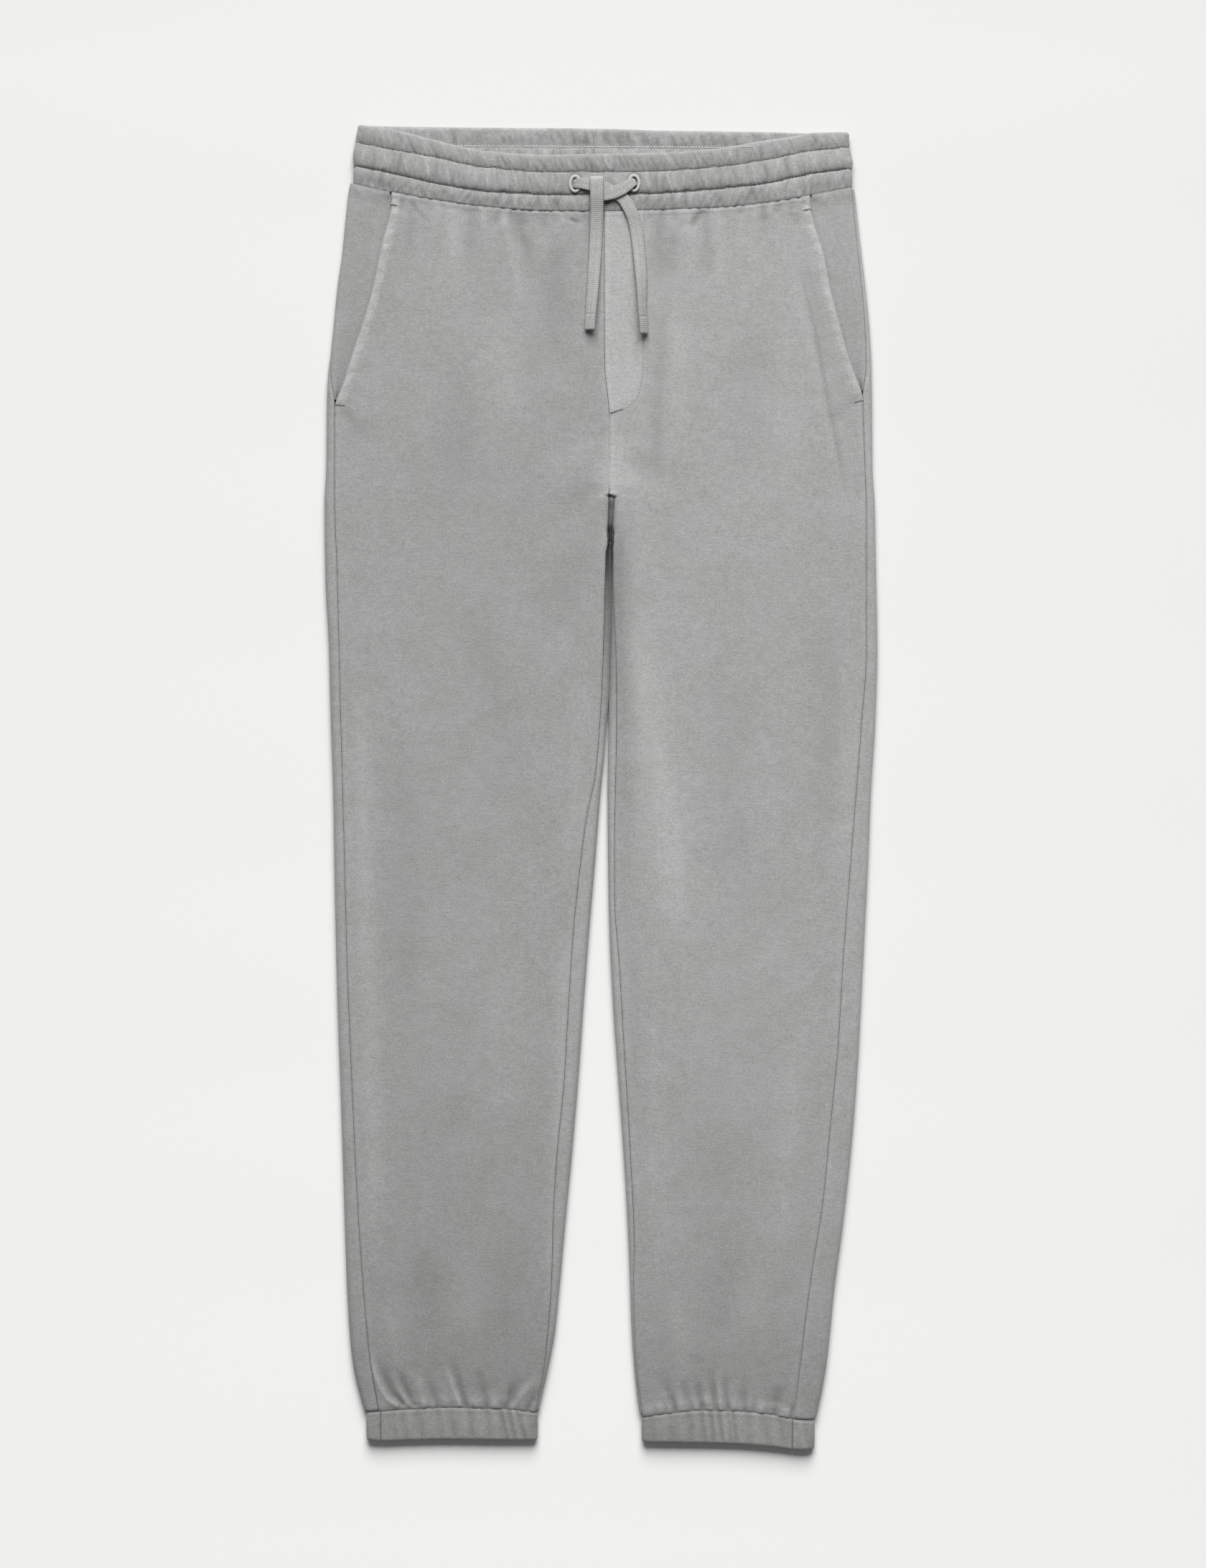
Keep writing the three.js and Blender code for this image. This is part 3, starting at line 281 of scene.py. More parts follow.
def creases(x, y, table, smear=0.0):
    """Height and tone of a table of creases: (points, half width at each end, height, tone, fade in, fade out). The
    tone is partly painted shade in the troughs and painted light on the ridges, partly wear on the ridges.
    """
    high, tone = np.zeros(x.shape), np.zeros(x.shape)
    for points, w0, w1, h, shade, fade0, fade1 in table:
        p = np.array([at(*q) for q in points])
        reach = 3.2 * max(w0, w1)
        near = (x > p[:, 0].min() - reach) & (x < p[:, 0].max() + reach) & (y > p[:, 1].min() - reach) & (y < p[:, 1].max() + reach)
        if not near.any():
            continue
        qx, qy = x[near], y[near]
        run = np.concatenate([[0], np.cumsum(np.hypot(*np.diff(p, axis=0).T))])
        best, along = np.full(qx.shape, 1e9), np.zeros(qx.shape)
        for k in range(len(p) - 1):
            (ax, ay), (bx, by) = p[k], p[k + 1]
            dx, dy = bx - ax, by - ay
            t = np.clip(((qx - ax) * dx + (qy - ay) * dy) / (dx * dx + dy * dy), 0, 1)
            d = np.hypot(qx - ax - t * dx, qy - ay - t * dy)
            closer = d < best
            best = np.where(closer, d, best)
            along = np.where(closer, (run[k] + t * (run[k + 1] - run[k])) / run[-1], along)
        w = lerp(w0, w1, along) + smear
        k = np.exp(-(best / w) ** 2)
        if fade0 > 0:
            k = k * smooth(along / fade0)
        if fade1 > 0:
            k = k * smooth((1 - along) / fade1)
        high[near] += h * k
        tone[near] += shade * k
    return high, tone


# Creases of the fronts that start at the waistband, then the longer ones down the legs.
WAIST_RIGHT = [
    ([(712, 297), (721, 316), (736, 352), (744, 398)], 4.6, 4.6, -0.50, -0.036, 0, 0.5),
    ([(729, 298), (732, 320)], 4.2, 4.6, -0.30, -0.034, 0, 0.5),
    ([(699, 299), (711, 345), (722, 400), (726, 480)], 2.8, 5.6, 0.42, 0.022, 0.1, 0.5),
    ([(752, 330), (762, 372)], 5.0, 8.0, 0.24, 0.016, 0.2, 0.5),
    ([(777, 320), (772, 420), (768, 540)], 9.0, 14.0, -0.42, -0.030, 0.2, 0.6),
    ([(796, 306), (804, 309)], 1.5, 1.5, -0.60, -0.085, 0, 0),
    ([(574, 284), (583, 296), (595, 312)], 1.0, 1.3, -0.36, -0.032, 0, 0.4),
    ([(695, 295), (686, 320)], 1.6, 2.6, -0.45, -0.04, 0, 0.6),
    ([(705, 296), (700, 330)], 2.0, 3.6, 0.30, 0.03, 0, 0.6),
    ([(628, 290), (632, 340), (640, 430)], 5.0, 10.0, 0.34, 0.030, 0.05, 0.7),
    ([(610, 292), (606, 326)], 4.0, 6.5, 0.24, 0.020, 0, 0.6),
    ([(660, 294), (655, 345), (652, 410)], 3.4, 8.0, -0.34, -0.025, 0, 0.7),
    ([(672, 294), (676, 325)], 2.0, 4.0, 0.28, 0.025, 0, 0.7),
    ([(575, 285), (570, 330), (571, 400)], 3.0, 8.0, -0.30, -0.02, 0, 0.7),
    ([(757, 299), (760, 330)], 2.0, 4.0, -0.36, -0.03, 0, 0.7),
    ([(783, 300), (785, 318)], 1.8, 3.0, 0.30, 0.03, 0, 0.7),
    ([(818, 300), (820, 330), (824, 380)], 3.0, 5.0, -0.30, -0.02, 0, 0.6),
    ([(560, 282), (557, 300)], 1.6, 2.6, -0.35, -0.03, 0, 0.6),
    ([(700, 420), (694, 520), (700, 640)], 14, 20, 0.30, 0.022, 0.3, 0.5),
    ([(640, 470), (636, 600), (628, 760)], 16, 22, -0.25, -0.016, 0.3, 0.5),
    ([(480, 575), (500, 600), (540, 622)], 3.5, 9.0, -0.35, -0.025, 0, 0.7),
    ([(830, 610), (790, 650), (740, 676)], 6.0, 12.0, 0.25, 0.018, 0.2, 0.6),
    ([(838, 668), (800, 700), (752, 720)], 7.0, 14.0, -0.25, -0.016, 0.2, 0.6),
]
WAIST_LEFT = [
    ([(976, 297), (967, 310), (957, 324)], 2.4, 3.8, -0.62, -0.058, 0, 0.5),
    ([(940, 325), (935, 365), (933, 400)], 5.5, 7.0, -0.36, -0.026, 0.2, 0.5),
    ([(957, 297), (961, 350)], 2.6, 6.0, 0.34, 0.035, 0, 0.7),
    ([(921, 298), (917, 350), (919, 420)], 5.0, 8.0, -0.42, -0.040, 0, 0.6),
    ([(930, 298), (933, 322)], 1.8, 3.2, 0.30, 0.03, 0, 0.6),
    ([(1036, 288), (1030, 306)], 1.6, 2.6, -0.5, -0.04, 0, 0.6),
    ([(1062, 288), (1067, 314)], 1.8, 3.4, -0.5, -0.045, 0, 0.6),
    ([(1086, 286), (1080, 304)], 1.6, 2.6, -0.45, -0.04, 0, 0.6),
    ([(1049, 288), (1049, 312)], 2.2, 3.6, 0.30, 0.03, 0, 0.6),
    ([(1074, 287), (1074, 306)], 2.0, 3.2, 0.30, 0.03, 0, 0.6),
    ([(1103, 283), (1099, 318)], 2.0, 3.6, -0.36, -0.03, 0, 0.6),
    ([(1003, 296), (1005, 350), (1004, 440)], 5.4, 9.0, 0.32, 0.022, 0, 0.6),
    ([(1064, 300), (1062, 345)], 3.2, 5.0, -0.32, -0.028, 0.1, 0.6),
    ([(1108, 296), (1110, 322)], 3.0, 4.0, -0.32, -0.028, 0.1, 0.5),
    ([(983, 297), (984, 340), (986, 410)], 3.0, 7.0, -0.38, -0.035, 0, 0.6),
    ([(1012, 293), (1014, 330), (1020, 380)], 3.0, 7.0, -0.28, -0.02, 0, 0.7),
    ([(945, 390), (946, 500), (944, 670)], 7.0, 12.0, 0.32, 0.022, 0.3, 0.4),
    ([(921, 440), (922, 500), (916, 575), (914, 690)], 5.0, 7.0, -0.30, -0.024, 0.2, 0.3),
    ([(1108, 345), (1122, 410), (1134, 455), (1148, 530), (1158, 580), (1170, 640), (1182, 710)], 1.4, 1.9, -0.50, -0.038, 0.25, 0.2),
    ([(1118, 350), (1132, 410), (1142, 455), (1155, 530), (1166, 590)], 4.0, 4.0, -0.20, -0.012, 0.2, 0.4),
    ([(1098, 345), (1112, 410), (1124, 458), (1138, 532), (1148, 584), (1160, 645), (1172, 712)], 3.4, 4.6, 0.26, 0.014, 0.2, 0.3),
    ([(1040, 430), (1046, 540), (1040, 700)], 14, 22, -0.28, -0.018, 0.3, 0.5),
    ([(1090, 430), (1100, 560), (1112, 720)], 12, 18, 0.22, 0.014, 0.3, 0.5),
    ([(862, 660), (900, 690), (950, 706)], 6.0, 13.0, 0.28, 0.020, 0.2, 0.6),
    ([(866, 630), (905, 652), (960, 660)], 6.0, 13.0, -0.25, -0.016, 0.2, 0.6),
    ([(1188, 560), (1165, 585), (1130, 600)], 4.0, 9.0, -0.30, -0.02, 0, 0.7),
]
# Creases that rise from the cuffs.
ANKLE_RIGHT = [
    ([(553, 1958), (539, 1949), (528, 1930), (518, 1904), (512, 1872)], 2.0, 3.2, 0.55, 0.06, 0, 0.5),
    ([(560, 1955), (546, 1940), (535, 1915), (528, 1886)], 2.0, 4.0, -0.70, -0.06, 0, 0.6),
    ([(576, 1956), (563, 1930), (551, 1890)], 1.9, 4.6, -0.60, -0.055, 0, 0.7),
    ([(569, 1957), (556, 1935), (545, 1910)], 1.8, 3.0, 0.36, 0.03, 0, 0.6),
    ([(592, 1957), (585, 1935), (577, 1900)], 2.6, 5.5, 0.42, 0.035, 0, 0.7),
    ([(608, 1958), (603, 1938), (595, 1908)], 1.9, 4.4, -0.42, -0.035, 0, 0.7),
    ([(619, 1957), (614, 1940)], 1.8, 3.0, 0.26, 0.02, 0, 0.7),
    ([(640, 1957), (627, 1920), (616, 1886)], 1.7, 3.6, 0.50, 0.055, 0, 0.6),
    ([(649, 1957), (637, 1925), (627, 1893)], 2.1, 5.2, -0.62, -0.055, 0, 0.7),
    ([(663, 1957), (658, 1940)], 2.2, 3.2, 0.28, 0.02, 0, 0.7),
    ([(677, 1958), (671, 1930), (660, 1898)], 1.9, 4.2, -0.46, -0.04, 0, 0.7),
    ([(689, 1959), (684, 1933)], 1.9, 3.6, 0.34, 0.03, 0, 0.7),
    ([(706, 1960), (714, 1938), (728, 1912)], 2.1, 5.4, -0.66, -0.055, 0, 0.7),
    ([(713, 1961), (724, 1945), (740, 1928), (753, 1908)], 1.8, 4.0, 0.46, 0.05, 0, 0.6),
    ([(735, 1963), (743, 1948), (753, 1930)], 1.9, 3.2, -0.46, -0.045, 0, 0.6),
    ([(562, 1930), (548, 1870), (538, 1790)], 5.0, 9.0, 0.30, 0.020, 0.2, 0.5),
    ([(600, 1880), (590, 1800), (588, 1700)], 9.0, 14.0, -0.30, -0.018, 0.2, 0.6),
    ([(650, 1880), (648, 1800), (650, 1720)], 9.0, 14.0, 0.26, 0.016, 0.2, 0.6),
    ([(700, 1890), (712, 1800), (722, 1700)], 9.0, 14.0, -0.26, -0.014, 0.2, 0.6),
]
ANKLE_LEFT = [
    ([(940, 1964), (932, 1940), (924, 1916)], 1.9, 4.2, -0.52, -0.045, 0, 0.7),
    ([(922, 1966), (917, 1948)], 1.9, 3.2, 0.32, 0.025, 0, 0.7),
    ([(963, 1963), (955, 1938), (950, 1914)], 1.9, 4.6, -0.50, -0.045, 0, 0.7),
    ([(951, 1963), (944, 1940)], 1.9, 3.6, 0.34, 0.035, 0, 0.7),
    ([(978, 1962), (972, 1935), (968, 1908)], 1.9, 4.8, -0.56, -0.05, 0, 0.7),
    ([(971, 1962), (965, 1942)], 1.6, 3.0, 0.28, 0.02, 0, 0.7),
    ([(986, 1962), (982, 1936)], 1.6, 3.2, 0.40, 0.04, 0, 0.7),
    ([(996, 1962), (993, 1930), (989, 1898)], 1.8, 4.4, -0.58, -0.05, 0, 0.7),
    ([(1004, 1962), (1001, 1933), (997, 1902)], 1.7, 3.4, 0.46, 0.045, 0, 0.7),
    ([(1014, 1962), (1010, 1933), (1007, 1906)], 1.8, 3.8, -0.48, -0.04, 0, 0.7),
    ([(1023, 1962), (1020, 1938)], 1.8, 3.2, 0.34, 0.035, 0, 0.7),
    ([(1038, 1964), (1036, 1938), (1036, 1914)], 2.1, 4.4, -0.42, -0.035, 0, 0.7),
    ([(1060, 1967), (1062, 1944)], 2.3, 4.2, 0.34, 0.03, 0, 0.7),
    ([(1078, 1970), (1083, 1948), (1092, 1924)], 2.1, 4.4, -0.48, -0.04, 0, 0.7),
    ([(1091, 1975), (1095, 1960)], 3.4, 3.6, 0.55, 0.05, 0, 0.4),
    ([(1102, 1975), (1107, 1954)], 1.6, 2.8, -0.60, -0.055, 0, 0.5),
    ([(1112, 1970), (1114, 1954)], 3.0, 3.2, 0.50, 0.05, 0, 0.4),
    ([(955, 1935), (947, 1870), (941, 1780)], 5.0, 8.0, 0.30, 0.020, 0.2, 0.5),
    ([(1084, 1930), (1081, 1957)], 6.0, 6.0, -0.30, -0.022, 0.3, 0.2),
    ([(927, 1945), (922, 1905)], 5.0, 6.0, -0.26, -0.016, 0.2, 0.4),
    ([(1000, 1880), (1002, 1790), (1010, 1700)], 9.0, 14.0, -0.28, -0.018, 0.2, 0.6),
    ([(1048, 1880), (1056, 1790), (1068, 1700)], 9.0, 14.0, 0.24, 0.015, 0.2, 0.6),
]
LEGS_RIGHT = [
    ([(502, 900), (506, 1150), (516, 1500), (526, 1820)], 8.0, 8.0, 0.26, 0.030, 0.2, 0.2),
    ([(786, 1270), (782, 1500), (772, 1760), (765, 1850)], 7.0, 7.0, 0.28, 0.032, 0.2, 0.2),
    ([(812, 900), (803, 1100), (790, 1270)], 8.0, 9.0, 0.20, 0.018, 0.3, 0.3),
    ([(560, 1000), (566, 1250), (572, 1500)], 14, 14, -0.22, -0.014, 0.3, 0.3),
    ([(640, 820), (700, 1000), (720, 1180)], 12, 18, -0.22, -0.012, 0.3, 0.4),
    ([(830, 760), (770, 860), (720, 900)], 10, 16, -0.24, -0.014, 0.1, 0.5),
    ([(700, 1280), (706, 1420), (700, 1600)], 16, 18, 0.20, 0.012, 0.3, 0.3),
    ([(600, 1160), (640, 1210), (700, 1230)], 9, 14, -0.16, -0.008, 0.3, 0.4),
    ([(556, 1340), (600, 1384), (652, 1396)], 8, 13, 0.16, 0.008, 0.3, 0.4),
]
LEGS_LEFT = [
    ([(880, 830), (905, 1000), (935, 1180), (952, 1350)], 12, 14, 0.26, 0.034, 0.2, 0.3),
    ([(1150, 800), (1160, 1000), (1140, 1250)], 14, 16, -0.22, -0.016, 0.3, 0.3),
    ([(1176, 880), (1182, 1050), (1160, 1260)], 8, 8, 0.22, 0.022, 0.3, 0.3),
    ([(1000, 900), (1020, 1100), (1030, 1300)], 15, 17, -0.20, -0.012, 0.3, 0.3),
    ([(1110, 1400), (1096, 1600), (1080, 1800)], 10, 10, 0.22, 0.020, 0.3, 0.3),
    ([(905, 1420), (915, 1600), (925, 1800)], 9, 9, 0.20, 0.014, 0.3, 0.3),
    ([(1060, 1140), (1010, 1196), (950, 1214)], 9, 14, -0.16, -0.008, 0.3, 0.4),
    ([(1110, 1300), (1060, 1352), (1000, 1370)], 9, 13, 0.16, 0.008, 0.3, 0.4),
]
# Broad lighter and darker areas painted into the cloth: partly painted light and shade on broad humps and hollows,
# partly uneven dye: (points, half width, tone).
DYE_AND_PAINTED_LIGHT = [
    ([(866, 300), (868, 420), (872, 600)], 15, 0.030), ([(858, 600), (858, 640), (853, 684)], 13, 0.085),
    ([(843, 640), (846, 684)], 9, 0.05),
    ([(880, 840), (950, 1340)], 20, 0.018), ([(530, 1000), (540, 1400)], 16, -0.012),
    ([(620, 330), (610, 600)], 26, 0.012), ([(545, 330), (520, 470)], 12, -0.012),
    ([(1060, 500), (1080, 800)], 26, 0.012), ([(740, 600), (760, 760)], 22, -0.010),
    ([(990, 1500), (1010, 1800)], 26, -0.014), ([(600, 1500), (620, 1820)], 26, -0.016),
]


# Slow change of the cloth's tone from waist to hem, darkest at the hems, partly the dye and partly painted falloff of
# the light; the function adds an even offset to each leg, the wearer's left one lighter: y, tone.
DOWN_LEG_TONE_AND_PAINTED_FALLOFF = [
    (-483.0, -0.155), (-449.0, -0.128), (-425.0, -0.078), (-405.0, -0.036), (-337.0, 0.012), (-170.0, 0.065), (-1.5, 0.040),
    (166.0, -0.010), (250.0, -0.020), (334.0, -0.020), (446.0, -0.020),
]


def down_leg_tone_and_painted_falloff(side, y):
    return np.interp(y, [r[0] for r in DOWN_LEG_TONE_AND_PAINTED_FALLOFF], [r[1] for r in DOWN_LEG_TONE_AND_PAINTED_FALLOFF]) + (0.045 if side == LEFT else -0.040)


# Painted shade on the cloth that lies deep in the slit below the crotch: y, tone.
SLIT_SHADE = [
    (20.0, 0.0), (43.0, -0.03), (66.0, -0.10), (88.0, -0.20), (110.0, -0.32), (133.0, -0.46), (155.0, -0.62), (166.0, -0.78),
    (178.0, -0.90), (188.0, -0.97), (203.0, -0.96), (208.0, -0.66), (220.0, -0.50), (227.0, -0.15), (238.0, 0.0),
]


def cleft_shade(side, x, y):
    """How much painted shade lies on both legs' round inner edges where they meet just under the crotch."""
    dark = np.interp(y, [148, 160, 172, 180, 187, 201, 206, 214], [0, 0.30, 0.66, 0.86, 0.96, 0.96, 0.5, 0.0])
    e = (x - inner_x[side](y)) * side
    return dark * smooth((np.interp(y, [170, 184, 191, 197, 203], [1.3, 1.7, 3.0, 2.6, 1.9]) - 0.6 * (side == RIGHT) - e) / 0.8)


def meet(y):
    """How far each leg's inner edge swells towards the other leg, in millimetres."""
    apart = (inner_x[LEFT](y) - inner_x[RIGHT](y)) / 2
    return np.clip(apart - 0.03, 0, 0.9) * smooth((201.0 - y) / 10.0) * smooth((y - 45) / 30)


def gathers(line, start, stop, seed, gap=(5.0, 9.5), length=(7, 22), turn=1):
    """Small uneven puckers along a seam: each row starts on the line and dies out towards turn."""
    rng = np.random.RandomState(seed)
    rows, x, sign = [], start + rng.uniform(0, 4), 1
    while x < stop:
        y = float(line(x))
        reach = rng.uniform(*length)
        lean = rng.uniform(-0.28, 0.28)
        w = rng.uniform(1.2, 2.2)
        h = rng.uniform(0.22, 0.62) * sign
        p0 = (x / 0.56 + 837.0, 1097.3 - y / 0.56)
        p1 = ((x + lean * reach) / 0.56 + 837.0, 1097.3 - (y + turn * reach) / 0.56)
        rows.append(([p0, p1], w, w * 2.0, h, 0.07 * h, 0, 0.8))
        x += rng.uniform(*gap) * 0.5
        sign = -sign if rng.uniform() < 0.85 else sign
    return rows


# ---------------------------------------------------------------- meshes
def new_object(name, verts, faces, material, tone=None, uv=None, sharp=42):
    mesh = bpy.data.meshes.new(name)
    mesh.from_pydata(np.asarray(verts, float).tolist(), [], faces if isinstance(faces, list) else faces.tolist())
    mesh.validate()
    co = np.empty(len(mesh.vertices) * 3)
    mesh.vertices.foreach_get("co", co)
    mesh.calc_loop_triangles()
    tri = np.empty(len(mesh.loop_triangles) * 3, int)
    mesh.loop_triangles.foreach_get("vertices", tri)
    p = co.reshape(-1, 3)[tri.reshape(-1, 3)]
    if float(np.einsum("ij,ij->i", p[:, 0], np.cross(p[:, 1], p[:, 2])).sum()) < 0:
        mesh.flip_normals()
    mesh.polygons.foreach_set("use_smooth", np.ones(len(mesh.polygons), bool))
    if tone is not None:
        mesh.attributes.new("tone", "FLOAT", "POINT").data.foreach_set("value", np.asarray(tone, np.float32).ravel())
    if uv is not None:
        loops = np.empty(len(mesh.loops), int)
        mesh.loops.foreach_get("vertex_index", loops)
        mesh.uv_layers.new(name="UVMap").data.foreach_set("uv", np.asarray(uv, np.float32)[loops].ravel())
    if sharp:
        mesh.set_sharp_from_angle(angle=math.radians(sharp))
    mesh.materials.append(material)
    obj = bpy.data.objects.new(name, mesh)
    bpy.context.scene.collection.objects.link(obj)
    return obj


def area_of(points):
    """Area of a grid of points, in square metres."""
    a = points[1:, :-1] - points[:-1, :-1]
    b = points[:-1, 1:] - points[:-1, :-1]
    return float(np.linalg.norm(np.cross(a, b), axis=2).sum()) * MM * MM


def shell(name, outer, inner, material, tone_out, tone_in, half=True):
    """A closed thin shell between two skins. half gives the inner skin every second point only."""
    rows, cols = outer.shape[:2]
    step = 2 if half else 1
    assert not half or (rows % 2 and cols % 2), name
    inn = inner[::step, ::step]
    tin = tone_in[::step, ::step]
    r2, c2 = inn.shape[:2]
    o = np.arange(rows * cols).reshape(rows, cols)
    n = rows * cols + np.arange(r2 * c2).reshape(r2, c2)
    faces = []
    faces += np.stack([o[:-1, :-1], o[:-1, 1:], o[1:, 1:], o[1:, :-1]], -1).reshape(-1, 4).tolist()
    faces += np.stack([n[:-1, :-1], n[1:, :-1], n[1:, 1:], n[:-1, 1:]], -1).reshape(-1, 4).tolist()

    def border(a, b, turn):
        for k in range(len(b) - 1):
            if half:
                a0, a1, a2 = int(a[2 * k]), int(a[2 * k + 1]), int(a[2 * k + 2])
                quads = [[a1, a0, int(b[k])], [a1, int(b[k]), int(b[k + 1])], [a2, a1, int(b[k + 1])]]
            else:
                quads = [[int(a[k + 1]), int(a[k]), int(b[k]), int(b[k + 1])]]
            faces.extend(q[::-1] if turn else q for q in quads)
    border(o[0], n[0], False)
    border(o[-1], n[-1], True)
    border(o[:, 0], n[:, 0], True)
    border(o[:, -1], n[:, -1], False)
    verts = np.concatenate([outer.reshape(-1, 3), inn.reshape(-1, 3)]) * MM
    tone = np.concatenate([tone_out.ravel(), tin.ravel()])
    return new_object(name, verts, faces, material, tone=1 + tone)


def rows_by_step(start, stop, first, last, power=1.0):
    """Positions from start to stop whose spacing goes from first to last."""
    span = abs(stop - start)
    out, q = [0.0], 0.0
    while q < span:
        q += lerp(first, last, min(1.0, (q / span)) ** power)
        out.append(q)
    out = np.array(out) * span / out[-1]
    return start + np.sign(stop - start) * out


def odd(values):
    """Drops or adds nothing but one value, so that their number is odd."""
    values = np.asarray(values)
    if len(values) % 2:
        return values
    mid = len(values) // 2
    return np.insert(values, mid, (values[mid - 1] + values[mid]) / 2)


def groove(d, deep=0.48, wide=0.7, ridge=0.20, off=3.0, spread=2.0):
    """Section of a sewn seam by distance from it: a narrow groove, then the soft ridge of the allowance."""
    return -deep * np.exp(-(d / wide) ** 2) + ridge * np.exp(-((d - off) / spread) ** 2)


# Tone by distance from a seam: painted shade in its groove, and a lighter worn ridge beside it.
def seam_tone(d, dark=0.05, light=0.03, off=2.6, spread=1.8):
    return -dark * np.exp(-(d / 0.8) ** 2) + light * np.exp(-((d - off) / spread) ** 2)


# ---------------------------------------------------------------- fronts
START_COLS = np.array([0, .3, .7, 1.15, 1.7, 2.4, 3.2, 4.0, 4.6, 5.1, 5.5, 5.85, 6.2, 6.6, 7.2, 8.1, 9.4, 11.2, 13.6])
END_COLS = {
    RIGHT: np.array([0, .3, .7, 1.15, 1.7, 2.4, 3.2, 4.2, 5.4, 6.7, 8.1, 9.6, 11.2, 13, 15, 17.2, 19.6, 22.2]),
    LEFT: np.array([0, .3, .7, 1.15, 1.7, 2.4, 3.2, 4.2, 5.4, 6.7, 8.1, 9.6, 11.1, 12.6, 14.1, 15.6, 17.0, 18.4, 19.8,
                    21.1, 22.3, 23.5, 24.6, 25.6, 26.5, 27.3, 28.0, 28.7, 29.4, 30.1, 30.8, 31.5, 32.3, 33.3, 34.7, 36.6, 39]),
}
# The topstitch of the mock fly: down beside the centre seam, then round to it.
FLY = [(33.6, 455.0), (33.6, 401.7), (32.9, 347.4), (32.6, 322.0), (31.2, 311.5), (28.0, 303.6), (23.2, 298.6), (17.6, 295.6), (12.0, 293.4), (7.4, 292.0)]


def polyline_distance(x, y, points):
    best, along = np.full(x.shape, 1e9), np.zeros(x.shape)
    run = 0.0
    for (ax, ay), (bx, by) in zip(points[:-1], points[1:]):
        dx, dy = bx - ax, by - ay
        span = math.hypot(dx, dy)
        t = np.clip(((x - ax) * dx + (y - ay) * dy) / (span * span), 0, 1)
        d = np.hypot(x - ax - t * dx, y - ay - t * dy)
        closer = d < best
        best, along = np.where(closer, d, best), np.where(closer, run + t * span, along)
        run += span
    return best, along


def round_corners(points, times=2):
    """Chaikin's corner cutting, which keeps both ends."""
    p = np.array(points, float)
    for _ in range(times):
        a, b = p[:-1], p[1:]
        q = np.empty((2 * len(a), p.shape[1]))
        q[0::2], q[1::2] = 0.75 * a + 0.25 * b, 0.25 * a + 0.75 * b
        p = np.vstack([p[:1], q[1:-1], p[-1:]])
    return p


FLY_LINE = round_corners(FLY, 2)


def inside_fly(x, y):
    """1 between the centre seam and the fly's topstitch, softly 0 outside."""
    right_edge = np.interp(y, [p[1] for p in FLY_LINE[::-1]], [p[0] for p in FLY_LINE[::-1]])
    return smooth((right_edge - x) / 1.6 + 0.5) * smooth((y - 292.0) / 2.0) * smooth((x - centre_front_x(y)) / 1.0 + 1)


